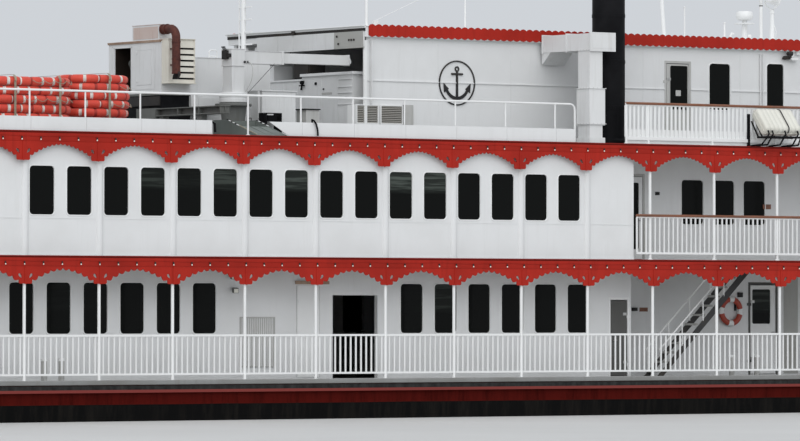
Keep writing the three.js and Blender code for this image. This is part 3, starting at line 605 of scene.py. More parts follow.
class Skin:
    """Points and faces of one piece, gathered part by part."""

    def __init__(self):
        self.points, self.faces, self.finish = [], [], []

    def add(self, points, faces, finish=0):
        first = len(self.points)
        self.points += [tuple(p) for p in points]
        self.faces += [tuple(first + i for i in face) for face in faces]
        self.finish += [finish] * len(faces)

    def box(self, x, y, z, finish=0, place=None):
        corners = [(a, b, c) for a in x for b in y for c in z]
        if place:
            corners = [place(*c) for c in corners]
        self.add(corners, [(0, 1, 3, 2), (4, 6, 7, 5), (0, 4, 5, 1), (2, 3, 7, 6), (0, 2, 6, 4),
                           (1, 5, 7, 3)], finish)

    def slab(self, outline, place, near, far, holes=(), finish=0):
        """A flat shape with holes, between two depths."""
        loops = [list(outline), *[list(h) for h in holes]]
        flat = [p for loop in loops for p in loop]
        many = len(flat)
        triangles = tessellate_polygon([[Vector((u, v, 0)) for u, v in loop] for loop in loops])
        points = [place(u, v, near) for u, v in flat] + [place(u, v, far) for u, v in flat]
        faces = [tuple(t) for t in triangles] + [tuple(i + many for i in reversed(t)) for t in triangles]
        start = 0
        for loop in loops:
            for i in range(len(loop)):
                a, b = start + i, start + (i + 1) % len(loop)
                faces.append((a, b, b + many, a + many))
            start += len(loop)
        self.add(points, faces, finish)

    def rings(self, loops, closed=False, finish=0):
        """Skin through loops of the same number of points."""
        many = len(loops[0])
        points = [p for loop in loops for p in loop]
        faces = []
        for s in range(len(loops) if closed else len(loops) - 1):
            t = (s + 1) % len(loops)
            for i in range(many):
                j = (i + 1) % many
                faces.append((s * many + i, s * many + j, t * many + j, t * many + i))
        if not closed:
            faces.append(tuple(reversed(range(many))))
            faces.append(tuple((len(loops) - 1) * many + i for i in range(many)))
        self.add(points, faces, finish)

    def tube(self, path, radius, sides=8, closed=False, finish=0):
        """A round bar along a path. radius is one number or one for each point."""
        path = [Vector(p) for p in path]
        many = len(path)
        radii = radius if isinstance(radius, (list, tuple)) else [radius] * many
        loops, across = [], None
        for i, point in enumerate(path):
            before = path[i - 1] if (i or closed) else point
            after = path[(i + 1) % many] if (i + 1 < many or closed) else point
            ahead = (after - before).normalized()
            if across is None:
                other = Vector((0, 0, 1)) if abs(ahead.z) < 0.9 else Vector((1, 0, 0))
                across = ahead.cross(other).normalized()
            across = (across - ahead * across.dot(ahead)).normalized()
            up = ahead.cross(across)
            loops.append([tuple(point + radii[i] * (math.cos(a) * across + math.sin(a) * up))
                          for a in (2 * math.pi * k / sides for k in range(sides))])
        self.rings(loops, closed, finish)

    def turned(self, profile, place, sides=24, finish=0):
        """A turned shape: profile gives radius and height, from one end to the other."""
        points, faces, rows = [], [], []
        for radius, height in profile:
            first = len(points)
            if radius < 1e-6:
                points.append(place(0, 0, height))
                rows.append([first] * sides)
            else:
                points += [place(radius * math.cos(a), radius * math.sin(a), height)
                           for a in (2 * math.pi * k / sides for k in range(sides))]
                rows.append([first + k for k in range(sides)])
        for low, high in zip(rows, rows[1:]):
            for k in range(sides):
                j = (k + 1) % sides
                face = [low[k], low[j], high[j], high[k]]
                face = [v for n, v in enumerate(face) if v not in face[:n]]
                if len(face) > 2:
                    faces.append(tuple(face))
        for row, end in ((rows[0], 0), (rows[-1], 1)):
            if row[0] != row[1]:
                faces.append(tuple(row) if end else tuple(reversed(row)))
        self.add(points, faces, finish)

    def sweep(self, path, section, closed=False):
        """A section of (out, height) points carried along a plan path; out is to the right of travel."""
        loops = []
        many = len(path)
        for i, (x, y) in enumerate(path):
            legs = []
            if i or closed:
                legs.append((x - path[i - 1][0], y - path[i - 1][1]))
            if i + 1 < many or closed:
                nx, ny = path[(i + 1) % many]
                legs.append((nx - x, ny - y))
            normals = [Vector((dy, -dx)).normalized() for dx, dy in legs]
            middle = sum(normals, Vector((0, 0))).normalized()
            reach = 1 / max(0.3, middle.dot(normals[0]))
            loops.append([(x + middle.x * out * reach, y + middle.y * out * reach, z) for out, z in section])
        self.rings(loops, closed)

    def mesh(self, name, smooth=35):
        mesh = bpy.data.meshes.new(name)
        mesh.from_pydata(self.points, [], self.faces)
        mesh.polygons.foreach_set("material_index", self.finish)
        work = bmesh.new()
        work.from_mesh(mesh)
        bmesh.ops.recalc_face_normals(work, faces=work.faces)
        work.to_mesh(mesh)
        work.free()
        if smooth:
            mesh.shade_smooth()
            mesh.set_sharp_from_angle(angle=math.radians(smooth))
        return mesh

    def done(self, name, body, slot, *finishes, bevel=0.0, smooth=35, replaces=()):
        piece = bpy.data.objects.new(name, self.mesh(name, smooth))
        bpy.context.scene.collection.objects.link(piece)
        return settle(piece, body, slot, finishes, bevel, replaces)


def settle(piece, body, slot, finishes, bevel=0.0, replaces=()):
    """Gives a piece its finishes and edge rounding, and seats it on its body."""
    faces = piece.data.polygons
    numbers = [face.material_index for face in faces]
    piece.data.materials.clear()
    for finish in finishes:
        piece.data.materials.append(FINISHES[finish])
    if len(finishes) > 1:
        faces.foreach_set("material_index", numbers)
    if bevel:
        edge = piece.modifiers.new("edges", "BEVEL")
        edge.width = bevel
        edge.segments = 1
        edge.limit_method = "ANGLE"
        edge.angle_limit = math.radians(40)
        edge.harden_normals = False
    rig.ride(piece, body)
    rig.slot(piece, slot)
    if replaces:
        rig.replaces(piece, *replaces)
    return piece


def coat(node, *finishes):
    """Gives a CAD node its finish."""
    data = frame["nodes"][node].data
    data.materials.clear()
    for finish in finishes:
        data.materials.append(FINISHES[finish])


# Geometry Nodes

class Tree:
    """A Geometry Nodes tree under way, with named inputs for its sizes."""

    def __init__(self, name):
        self.group = bpy.data.node_groups.new(name, "GeometryNodeTree")
        self.group.interface.new_socket("Geometry", in_out="OUTPUT", socket_type="NodeSocketGeometry")
        self.inputs = self.group.nodes.new("NodeGroupInput")
        self.outputs = self.group.nodes.new("NodeGroupOutput")
        self.keys = {}
        self.path = self.input("Path", "Geometry")

    def input(self, name, kind, default=None):
        socket = self.group.interface.new_socket(name, in_out="INPUT", socket_type="NodeSocket" + kind)
        if default is not None:
            socket.default_value = default
        self.keys[name] = socket.identifier
        return self.inputs.outputs[name]

    def node(self, kind, links=None, **settings):
        return add_node(self.group, kind, links, settings)

    def end(self, copies):
        """Sets the copies on their points, as one real mesh in one material."""
        placed = self.node("GeometryNodeInstanceOnPoints", copies)
        material = self.input("Material", "Material")
        whole = self.node("GeometryNodeRealizeInstances", {"Geometry": placed.outputs[0]})
        coated = self.node("GeometryNodeSetMaterial", {"Geometry": whole.outputs[0], "Material": material})
        self.group.links.new(coated.outputs[0], self.outputs.inputs[0])
        return self


def path_points(tree, pitch):
    """Evenly spaced points on the carrier's paths, and the turn that follows them."""
    curve = tree.node("GeometryNodeMeshToCurve", {"Mesh": tree.path})
    spaced = tree.node("GeometryNodeResampleCurve", {"Curve": curve.outputs[0], "Length": pitch},
                       mode="LENGTH")
    ahead = tree.node("GeometryNodeInputTangent")
    turn = tree.node("FunctionNodeAlignRotationToVector", {"Vector": ahead.outputs[0]}, axis="X",
                     pivot_axis="Z")
    return spaced.outputs[0], turn.outputs[0]


def pieces_tree():
    """Copies of one piece along paths, turned to follow them or kept square."""
    tree = Tree("Pieces along paths")
    points, turn = path_points(tree, tree.input("Pitch", "Float", 0.25))
    piece = tree.node("GeometryNodeObjectInfo",
                      {"Object": tree.input("Piece", "Object"), "As Instance": True})
    follow = tree.input("Follow", "Bool", True)
    chosen = tree.node("GeometryNodeSwitch", {"Switch": follow, "True": turn}, input_type="ROTATION")
    return tree.end({"Points": points, "Instance": piece.outputs["Geometry"], "Rotation": chosen.outputs[0]})


def bars_tree():
    """Upright bars along paths, such as the balusters of a rail."""
    tree = Tree("Bars along paths")
    points, turn = path_points(tree, tree.input("Pitch", "Float", 0.07))
    width = tree.input("Width", "Float", 0.018)
    thickness = tree.input("Thickness", "Float", 0.012)
    height = tree.input("Height", "Float", 0.4)
    box = tree.node("ShaderNodeCombineXYZ", {"X": width, "Y": thickness, "Z": height})
    bar = tree.node("GeometryNodeMeshCube", {"Size": box.outputs[0]})
    lift = tree.node("ShaderNodeMath", {0: height, 1: 0.5}, operation="MULTIPLY")
    up = tree.node("ShaderNodeCombineXYZ", {"Z": lift.outputs[0]})
    raised = tree.node("GeometryNodeTransform", {"Geometry": bar.outputs[0], "Translation": up.outputs[0]})
    return tree.end({"Points": points, "Instance": raised.outputs[0], "Rotation": turn})


def slats_tree():
    """Level slats up a path, each tilted about its long side."""
    tree = Tree("Louvre slats")
    points, _ = path_points(tree, tree.input("Pitch", "Float", 0.03))
    length = tree.input("Length", "Float", 0.5)
    depth = tree.input("Depth", "Float", 0.03)
    thickness = tree.input("Thickness", "Float", 0.003)
    tilt = tree.input("Tilt", "Float", 0.6)
    heading = tree.input("Heading", "Float", 0.0)
    box = tree.node("ShaderNodeCombineXYZ", {"X": length, "Y": depth, "Z": thickness})
    slat = tree.node("GeometryNodeMeshCube", {"Size": box.outputs[0]})
    lean = tree.node("ShaderNodeCombineXYZ", {"X": tilt})
    leaning = tree.node("GeometryNodeTransform", {"Geometry": slat.outputs[0], "Rotation": lean.outputs[0]})
    upright_turn = tree.node("ShaderNodeCombineXYZ", {"Z": heading})
    turned = tree.node("GeometryNodeTransform",
                       {"Geometry": leaning.outputs[0], "Rotation": upright_turn.outputs[0]})
    return tree.end({"Points": points, "Instance": turned.outputs[0]})


def around_tree():
    """Copies of one piece turned about an axis, cross-ship or upright, at each point of the carrier."""
    tree = Tree("Pieces round an axis")
    count = tree.input("Count", "Int", 12)
    standing = tree.input("Standing", "Float", 0.0)
    many = tree.node("GeometryNodeDuplicateElements", {"Geometry": tree.path, "Amount": count},
                     domain="POINT")
    step = tree.node("ShaderNodeMath", {0: 2 * math.pi, 1: count}, operation="DIVIDE")
    turn = tree.node("ShaderNodeMath", {0: many.outputs["Duplicate Index"], 1: step.outputs[0]},
                     operation="MULTIPLY")
    about_z = tree.node("ShaderNodeMath", {0: turn.outputs[0], 1: standing}, operation="MULTIPLY")
    about_y = tree.node("ShaderNodeMath", {0: turn.outputs[0], 1: about_z.outputs[0]}, operation="SUBTRACT")
    heading = tree.node("ShaderNodeCombineXYZ", {"Y": about_y.outputs[0], "Z": about_z.outputs[0]})
    piece = tree.node("GeometryNodeObjectInfo",
                      {"Object": tree.input("Piece", "Object"), "As Instance": True})
    return tree.end({
        "Points": many.outputs["Geometry"], "Instance": piece.outputs["Geometry"],
        "Rotation": heading.outputs[0],
    })


TREES = {}


def tree_of(make):
    if make.__name__ not in TREES:
        TREES[make.__name__] = make()
    return TREES[make.__name__]


def grow(name, make, paths, finish, **values):
    """Runs a tree on a carrier of polylines and leaves the result as a plain mesh object."""
    tree = tree_of(make)
    points, edges = [], []
    for path in paths:
        first = len(points)
        points += [tuple(p) for p in path]
        edges += [(first + i, first + i + 1) for i in range(len(path) - 1)]
    mesh = bpy.data.meshes.new(name)
    mesh.from_pydata(points, edges, [])
    carrier = bpy.data.objects.new(name, mesh)
    bpy.context.scene.collection.objects.link(carrier)
    modifier = carrier.modifiers.new("pieces", "NODES")
    modifier.node_group = tree.group
    for key, value in values.items():
        modifier[tree.keys[key.capitalize()]] = value
    modifier[tree.keys["Material"]] = FINISHES[finish]
    carrier.update_tag()
    depsgraph = bpy.context.evaluated_depsgraph_get()
    made = bpy.data.meshes.new_from_object(carrier.evaluated_get(depsgraph), depsgraph=depsgraph)
    carrier.modifiers.remove(modifier)
    carrier.data = made
    bpy.data.meshes.remove(mesh)
    if not made.polygons:
        raise RuntimeError(f"{name}: the tree made nothing")
    return carrier


def grow_copies(name, make, skin, smooth, paths, finish, **values):
    """Runs a tree whose pattern is a small shape."""
    pattern = bpy.data.objects.new(name + "_pattern", skin.mesh(name + "_pattern", smooth))
    bpy.context.scene.collection.objects.link(pattern)
    piece = grow(name, make, paths, finish, piece=pattern, **values)
    bpy.data.objects.remove(pattern)
    return piece


def grow_pieces(name, skin, paths, finish, body, slot, pitch, follow=True, bevel=0.0, smooth=35):
    """Copies of a small shape along paths, as one piece."""
    piece = grow_copies(name, pieces_tree, skin, smooth, paths, finish, pitch=pitch, follow=follow)
    settle(piece, body, slot, [finish], bevel)


def grow_around(name, skin, centres, count, finish, body, slot, bevel=0.0, upright_axis=False):
    """Copies of a small shape round an axis at each centre, as one piece."""
    piece = grow_copies(name, around_tree, skin, 35, [[centre] for centre in centres], finish, count=count,
                        standing=1.0 if upright_axis else 0.0)
    settle(piece, body, slot, [finish], bevel)


def grow_bars(name, paths, finish, slot, pitch, width, thickness, height):
    """Upright bars along paths, such as balusters, as one piece of the ship."""
    bars = grow(name, bars_tree, paths, finish, pitch=pitch, width=width, thickness=thickness, height=height)
    settle(bars, "ship", slot, [finish])


# Plans

def deck_plan(half, aft, fore, inset=0.0):
    """Plan of an upper deck from the starboard quarter round the bow to the port quarter."""
    half, aft, fore, radius = half - inset, aft + inset, fore - inset, FRONT_ROUND - inset
    starboard = [(aft, -half)]
    for i in range(ROUND_STEPS + 1):
        turn = i / ROUND_STEPS * math.pi / 2
        starboard.append((fore - radius + radius * math.sin(turn), -half + radius - radius * math.cos(turn)))
    return starboard + [(x, -y) for x, y in reversed(starboard)]


def hull_half(t):
    return 0.11 + 2.44 * (1 - t ** 2.4) ** 0.62


BOW_STEPS = (0, 0.2, 0.4, 0.56, 0.7, 0.82, 0.91, 0.97, 1)


def hull_x(t):
    return 7.5 + t * 4.955


def bays(low, high):
    """The posts' places from low to high, one bay apart."""
    return [low + i * BAY for i in range(int(round((high - low) / BAY)) + 1)]


def follow_point(plan, distance):
    """Point and outward direction at a distance along a plan path."""
    gone = 0.0
    for (ax, ay), (bx, by) in zip(plan, plan[1:]):
        length = math.hypot(bx - ax, by - ay)
        if distance <= gone + length + 1e-9:
            share = (distance - gone) / length
            return (ax + (bx - ax) * share, ay + (by - ay) * share), ((by - ay) / length, -(bx - ax) / length)
        gone += length
    raise ValueError("distance is past the end of the plan")


# Walls and windows

class House:
    """Walls, frames and panes of one deck's houses, gathered together."""

    def __init__(self, sizes):
        self.walls, self.frames, self.glass = Skin(), Skin(), Skin()
        self.round, self.width = sizes.window_round, sizes.frame_width

    def pane(self, place, u0, u1, v0, v1):
        """A window's raised frame and its pane."""
        radius, w, proud, deep = self.round, self.width, 0.007, 0.02
        self.frames.rings([
            [place(u, v, depth) for u, v in rounded(u0 - by, u1 + by, v0 - by, v1 + by, radius + by)]
            for by, depth in ((w, 0.0), (w - 0.003, -proud), (0.002, -proud), (-0.001, 0.0), (-0.001, deep),
                              (w, deep))
        ], closed=True)
        self.glass.slab(rounded(u0, u1, v0, v1, radius), place, 0.010, 0.016)

    def wall(self, place, u0, u1, v0, v1, windows=(), openings=()):
        holes = [rounded(*window, self.round) for window in windows]
        holes += [rectangle(*opening) for opening in openings]
        self.walls.slab(rectangle(u0, u1, v0, v1), place, 0.0, WALL, holes)
        for window in windows:
            self.pane(place, *window)

    def done(self, name, *replaces):
        self.walls.done(name + "_walls", "ship", "white_paint", "white_paint", smooth=0, replaces=replaces)
        self.frames.done(name + "_frames", "ship", "white_paint", "trim_paint")
        self.glass.done(name + "_panes", "ship", "window_glass", "window_glass")


def door_opening(name):
    _, deck, aft, width, height, _ = DOORS[name]
    return (aft - LEAF_GAP, aft + width + LEAF_GAP, deck + SILL - LEAF_GAP, deck + SILL + height + LEAF_GAP)


def window_row(centres, width, low, high):
    return [(c - width / 2, c + width / 2, low, high) for c in centres]


# Operators

class SteamerOperator(bpy.types.Operator):
    bl_options = {"REGISTER", "UNDO"}

    def execute(self, context):
        self.build(context.scene.steamer_sizes)
        return {"FINISHED"}


# Camera: lens and sensor in millimetres, place, plan direction of its view, and its rise in degrees.
LENS, SENSOR = 260.7, 36
CAMERA_AT, VIEW_PLAN, VIEW_RISE = (-38.80, -57.60, 1.808), (0.5878, 0.8090), 0.934
CLIP = (1, 1000)

# Lights: name, strength, spread in degrees, direction.
SUNS = (("high_sun", 1.3, 70, (0.25, 0.62, -0.75)), ("front_sun", 0.45, 60, (0.75, 0.45, -0.3)))
SKY, SKY_STRENGTH = (0.86, 0.9, 0.95, 1), 0.72
FLOOR_REACH = 400.0


class STEAMER_OT_stage(SteamerOperator):
    """Pale floor at the waterline, soft light and the camera"""
    bl_idname = "steamer.stage"
    bl_label = "Stage"

    def build(self, sizes):
        scene = bpy.context.scene
        make_finishes(scene.steamer_colours)
        scene.view_settings.view_transform = "Standard"
        shader = Shader("floor_paint")
        soft = shader.span(shader.noise(0.3, 3), 0.3, 0.7, 0.0, 1.0)
        shader.done(shader.mix(soft, (0.56, 0.56, 0.55), (0.6, 0.6, 0.59)), 0.7)
        floor = bpy.data.meshes.new("floor")
        corners = rectangle(-FLOOR_REACH, FLOOR_REACH, -FLOOR_REACH, FLOOR_REACH)
        floor.from_pydata([(x, y, WATERLINE) for x, y in corners], [], [(0, 1, 2, 3)])
        floor.materials.append(FINISHES["floor_paint"])
        ground = bpy.data.objects.new("floor", floor)
        scene.collection.objects.link(ground)
        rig.stage(ground)
        world = bpy.data.worlds.new("studio")
        scene.world = world
        world.use_nodes = True
        sky = world.node_tree.nodes["Background"]
        sky.inputs[0].default_value = SKY
        sky.inputs[1].default_value = SKY_STRENGTH
        for name, energy, angle, direction in SUNS:
            light = bpy.data.lights.new(name, "SUN")
            light.energy = energy
            light.angle = math.radians(angle)
            lamp_object = bpy.data.objects.new(name, light)
            lamp_object.rotation_euler = Vector(direction).to_track_quat("-Z", "Y").to_euler()
            scene.collection.objects.link(lamp_object)
        camera = bpy.data.objects.new("camera", bpy.data.cameras.new("camera"))
        camera.data.lens, camera.data.sensor_width = LENS, SENSOR
        camera.data.clip_start, camera.data.clip_end = CLIP
        camera.location = CAMERA_AT
        rise = math.radians(VIEW_RISE)
        ahead = Vector((VIEW_PLAN[0] * math.cos(rise), VIEW_PLAN[1] * math.cos(rise), math.sin(rise)))
        camera.rotation_euler = ahead.to_track_quat("-Z", "Y").to_euler()
        scene.collection.objects.link(camera)
        scene.camera = camera


class STEAMER_OT_hull(SteamerOperator):
    """Hull, strake, decks and the gutter bar at the main deck's edge"""
    bl_idname = "steamer.hull"
    bl_label = "Hull and decks"

    def build(self, sizes):
        coat("hull", "hull_paint")
        coat("rubbing_strake", "strake_paint")
        for deck in ("main_deck", "second_deck", "third_deck"):
            coat(deck, "deck_paint")
        plan = [(-9.6, -2.49), (-8.7, -2.55)] + [(hull_x(t), -hull_half(t)) for t in BOW_STEPS]
        plan += [(x, -y) for x, y in reversed(plan)]
        lip = Skin()
        lip.sweep(plan, [(0.0005, 1.012), (0.02, 1.016), (0.022, 1.06), (0.012, 1.068), (0.0005, 1.058)])
        lip.done("main_deck_lip", "ship", "deck_grey", "grey_paint")


# A bracket's half width, and how far an arch lies below the deck line at its crown and rises to its foot.
FOOT_HALF = 0.088
CROWN_DROP, ARCH_RISE = 0.135, 0.125


def arch_drop(share):
    """How far an arch lies below the deck line, by share of the way from post to crown."""
    return CROWN_DROP + ARCH_RISE * max(0.0, (1 - share) / 0.8) ** 1.8


def half_arch(half_bay, lobes, foot):
    """Scalloped lower edge of half a bay, from the post's bracket to the crown."""
    r = 0.016
    points = [(0.0, -foot), (FOOT_HALF - r, -foot), (FOOT_HALF - 0.3 * r, -foot + 0.35 * r),
              (FOOT_HALF, -foot + r)]
    step = (half_bay - FOOT_HALF) / lobes
    ends = [(FOOT_HALF + i * step, -arch_drop((FOOT_HALF + i * step) / half_bay)) for i in range(lobes + 1)]
    points.append((FOOT_HALF, ends[0][1] - 0.012))
    for (au, av), (bu, bv) in zip(ends, ends[1:]):
        chord = math.hypot(bu - au, bv - av)
        for i in range(5):
            t = i / 5 + 0.02
            bulge = 0.33 * chord * math.sin(math.pi * t)
            points.append((au + (bu - au) * t + bulge * (bv - av) / chord, av + (bv - av) * t - bulge))
    points.append((half_bay - 0.0006, ends[-1][1]))
    return points


def bay_shape(top, lobes, foot, half_bay=BAY / 2):
    """Outline of one bay's arch plate, centred on its post, below a deck line at zero."""
    right = half_arch(half_bay, lobes, foot)
    left = [(-u, v) for u, v in reversed(right[1:])]
    edge = half_bay - 0.0006
    return [(-edge, -top)] + left + right + [(edge, -top)]


def comma(side):
    """A slanted drop-shaped cut-out beside a bracket."""
    u, v, length, wide = 0.07, -0.226, 0.062, 0.021
    points = []
    for i in range(10):
        a = 2 * math.pi * i / 10
        long, across = math.cos(a) * length / 2, math.sin(a) * wide * (0.75 + 0.35 * math.cos(a))
        points.append((side * (u + long * 0.62 - across * 0.78), v + long * 0.78 + across * 0.62))
    return points if side > 0 else list(reversed(points))


class STEAMER_OT_deck_edges(SteamerOperator):
    """Red deck edge bands with their arched and scalloped valances, bulbs and wire"""
    bl_idname = "steamer.deck_edges"
    bl_label = "Deck edges"

    def build(self, sizes):
        self.edge("second", SECOND, SECOND_HALF, SECOND_FORE, 9.0, sizes.lower_lobes, 0.315, 0.016, sizes)
        self.edge("third", THIRD, THIRD_HALF, THIRD_FORE, 8.0, sizes.upper_lobes, 0.33, 0.010, sizes)

    def edge(self, name, deck, half, fore, last, lobes, foot, proud, sizes):
        plan, depth = deck_plan(half, STERN, fore), 0.105
        band = Skin()
        band.sweep(plan, [(0.0005, deck - 0.02), (proud, deck - 0.02), (proud, deck - depth - 0.006),
                          (proud - 0.004, deck - depth - 0.012), (0.0005, deck - depth - 0.012)], closed=True)
        band.done(name + "_deck_band", "ship", "red_paint", "red_paint")
        # The nosing and the seam strip below it take the darker red: painted shade of the thin dark line at the deck's
        # top edge.
        nosing = Skin()
        nosing.sweep(plan, [(0.0005, deck - 0.012), (proud + 0.008, deck - 0.012),
                            (proud + 0.014, deck - 0.004), (proud + 0.008, deck + 0.004),
                            (0.0005, deck + 0.004)], closed=True)
        nosing.done(name + "_deck_nosing", "ship", "red_paint", "red_shade")
        seam = Skin()
        seam.sweep(plan, [(0.0003, deck - 0.0202), (proud - 0.005, deck - 0.0202),
                          (proud - 0.005, deck - 0.0118), (0.0003, deck - 0.0118)], closed=True)
        seam.done(name + "_deck_seam", "ship", "red_paint", "red_shade")
        bay = Skin()
        top = depth + 0.0122
        cuts = [comma(s) for s in (-1, 1)]
        bay.slab(bay_shape(top, lobes, foot), lambda u, v, w: (u, -w, v), 0.0, 0.010, cuts)
        bay.box((-0.011, 0.011), (-0.0155, -0.009), (-foot - 0.004, -top))
        first = -9.0
        paths = [[(first, -half, deck), (last, -half, deck)], [(last, half, deck), (first, half, deck)]]
        paths.append([(STERN, 2.0, deck), (STERN, -2.0, deck)])
        grow_pieces(name + "_valance", bay, paths, "red_paint", "ship", "red_paint", BAY)
        self.bow_valance(name, plan, deck, lobes, foot, top, last)
        self.bulbs(name, plan, deck, proud, sizes)

    def bow_valance(self, name, plan, deck, lobes, foot, top, last):
        """The rest of the valance, bent round the bow end of the deck."""
        start = last + BAY / 2 - STERN
        run = path_length(plan) - 2 * start
        count = round(run / BAY)
        bay = run / count
        outline = bay_shape(top, lobes, foot, bay / 2)[1:-1]
        strip = Skin()
        loops = []
        for i in range(count):
            for u, v in outline:
                (x, y), (nx, ny) = follow_point(plan, start + (i + 0.5) * bay + u)
                loops.append([(x, y, deck - top), (x + nx * 0.01, y + ny * 0.01, deck - top),
                              (x + nx * 0.01, y + ny * 0.01, deck + v), (x, y, deck + v)])
        strip.rings(loops)
        for i in range(count):
            (x, y), (nx, ny) = follow_point(plan, start + (i + 0.5) * bay)
            tx, ty = -ny, nx
            corner = [(x + nx * o + tx * s, y + ny * o + ty * s) for o, s in
                      ((0.008, -0.011), (0.0155, -0.011), (0.0155, 0.011), (0.008, 0.011))]
            strip.rings([[(a, b, deck - foot - 0.004) for a, b in corner],
                         [(a, b, deck - top) for a, b in corner]])
        strip.done(name + "_bow_valance", "ship", "red_paint", "red_paint")

    def bulbs(self, name, plan, deck, proud, sizes):
        path = [[(x, y, deck - 0.078) for x, y in plan]]
        out = proud + 0.012
        bulb, holder = Skin(), Skin()
        bulb.turned([(0, -0.0145), (0.0055, -0.0125), (0.0082, -0.0075), (0.0075, -0.001), (0.004, 0.004)],
                    upright(0, -out, -0.012), 8)
        holder.turned([(0.008, -0.008), (0.0085, 0.010), (0.005, 0.014), (0, 0.014)], upright(0, -out, 0.0),
                      8)
        holder.box((-0.004, 0.004), (-out, -proud + 0.001), (0.003, 0.011))
        grow_pieces(name + "_bulbs", bulb, path, "lamp_glass", "ship", "lamp_glass", sizes.bulb_pitch)
        grow_pieces(name + "_bulb_holders", holder, path, "dark_steel", "ship", "gear_black",
                    sizes.bulb_pitch)
        wire = Skin()
        whole = path_length(plan)
        points = []
        count = int(whole / 0.125)
        for i in range(count + 1):
            (x, y), (nx, ny) = follow_point(plan, min(whole - 1e-4, i * whole / count))
            sag = 0.012 * abs(math.sin(i * math.pi / 8))
            points.append((x + nx * (proud + 0.004), y + ny * (proud + 0.004), deck - 0.048 - sag))
        wire.tube(points, 0.0028, 5)
        wire.done(name + "_bulb_wire", "ship", "red_paint", "red_paint")


class STEAMER_OT_main_houses(SteamerOperator):
    """Main saloon and lobby walls with windows, frames and openings"""
    bl_idname = "steamer.main_houses"
    bl_label = "Main deck houses"

    def build(self, sizes):
        house = House(sizes)
        low, high = MAIN + GAP, SECOND - EDGE - GAP
        centres = [-8.72 + 0.5 * i for i in range(16)]
        for _, side in SIDES:
            windows = window_row(centres + [1.75, 2.25, 2.75, 3.25, 3.75, 4.25], 0.324, 1.593, 2.177)
            house.wall(side_wall(side, SALOON_HALF), HOUSE_AFT, SALOON_FORE, low, high, windows,
                       [(0.6, 1.25, MAIN + 0.012, MAIN + 0.99), door_opening("saloon_door")])
            house.wall(side_wall(side, LOBBY_HALF), SALOON_FORE + GAP, HOUSE_FORE, low, high, [],
                       [door_opening("lobby_door")])
        house.wall(end_wall(HOUSE_AFT, -1), -1.965, 1.965, low, high,
                   window_row([-1.5, -0.9, 0.9, 1.5], 0.312, 1.6, 2.162),
                   [(-0.3, 0.3, MAIN + 0.012, MAIN + 0.99)])
        house.wall(end_wall(SALOON_FORE, 1), -1.965, 1.965, low, high)
        house.wall(end_wall(HOUSE_FORE, 1), -1.24, 1.24, low, high,
                   window_row([-0.8, -0.3, 0.3, 0.8], 0.34, 1.6, 2.162))
        door = Skin()
        door.slab(rectangle(-0.29, 0.29, MAIN + 0.014, MAIN + 0.985), end_wall(HOUSE_AFT, -1), 0.015, 0.04,
                  [rounded(-0.2, 0.2, MAIN + 0.5, MAIN + 0.88, 0.03)])
        house.glass.slab(rounded(-0.205, 0.205, MAIN + 0.495, MAIN + 0.885, 0.03), end_wall(HOUSE_AFT, -1),
                         0.022, 0.03)
        door.done("engine_room_door", "ship", "white_paint", "trim_paint", bevel=0.003)
        house.done("main_house", "main_saloon_walls", "lobby_walls")


class STEAMER_OT_upper_houses(SteamerOperator):
    """Upper saloon and promenade lobby walls with windows and pilasters"""
    bl_idname = "steamer.upper_houses"
    bl_label = "Second deck houses"

    def build(self, sizes):
        house = House(sizes)
        low, high = SECOND + GAP, THIRD - EDGE - GAP
        sill, head = SECOND + 0.465, SECOND + 1.015
        centres = [-8.709 + 0.5 * i for i in range(26) if i != 9]
        trim = Skin()
        for _, side in SIDES:
            place = side_wall(side, UPPER_HALF)
            house.wall(place, HOUSE_AFT, UPPER_FORE, low, high, window_row(centres, 0.331, sill, head))
            house.wall(side_wall(side, PROMENADE_HALF), UPPER_FORE + GAP, HOUSE_FORE, low, high,
                       window_row([6.29, 6.785, 7.28, 8.31], 0.344, 2.93, 3.478),
                       [door_opening("promenade_door")])
            for x in bays(-9.0, 4.0):
                trim.slab(circle((x + 0.064, 0.0), 0.043, 7, 0, math.pi, 0.03),
                          lambda u, v, w: (u, side * (UPPER_HALF + v), w), low + 0.001, SECOND + 1.085)
            trim.box((HOUSE_AFT, UPPER_FORE), (-0.004, 0.001), (SECOND + 0.423, SECOND + 0.429),
                     place=laid(place))
            trim.box((HOUSE_AFT, UPPER_FORE), (-0.012, 0.001), (SECOND + 0.002, SECOND + 0.02),
                     place=laid(place))
        house.wall(end_wall(HOUSE_AFT, -1), -2.38, 2.38, low, high,
                   window_row([-1.9, -1.3, -0.7, 0.7, 1.3, 1.9], 0.315, sill, head),
                   [(-0.3, 0.3, SECOND + 0.012, SECOND + 0.99)])
        house.wall(end_wall(UPPER_FORE, 1), -2.38, 2.38, low, high)
        house.wall(end_wall(HOUSE_FORE, 1), -1.64, 1.64, low, high,
                   window_row([-1.2, -0.6, 0.0, 0.6, 1.2], 0.38, 2.95, 3.42))
        trim.slab(rectangle(-0.29, 0.29, SECOND + 0.014, SECOND + 0.985), end_wall(HOUSE_AFT, -1), 0.015,
                  0.04)
        house.done("upper_house", "upper_saloon_walls", "promenade_walls")
        trim.done("upper_house_trim", "ship", "white_paint", "white_paint")


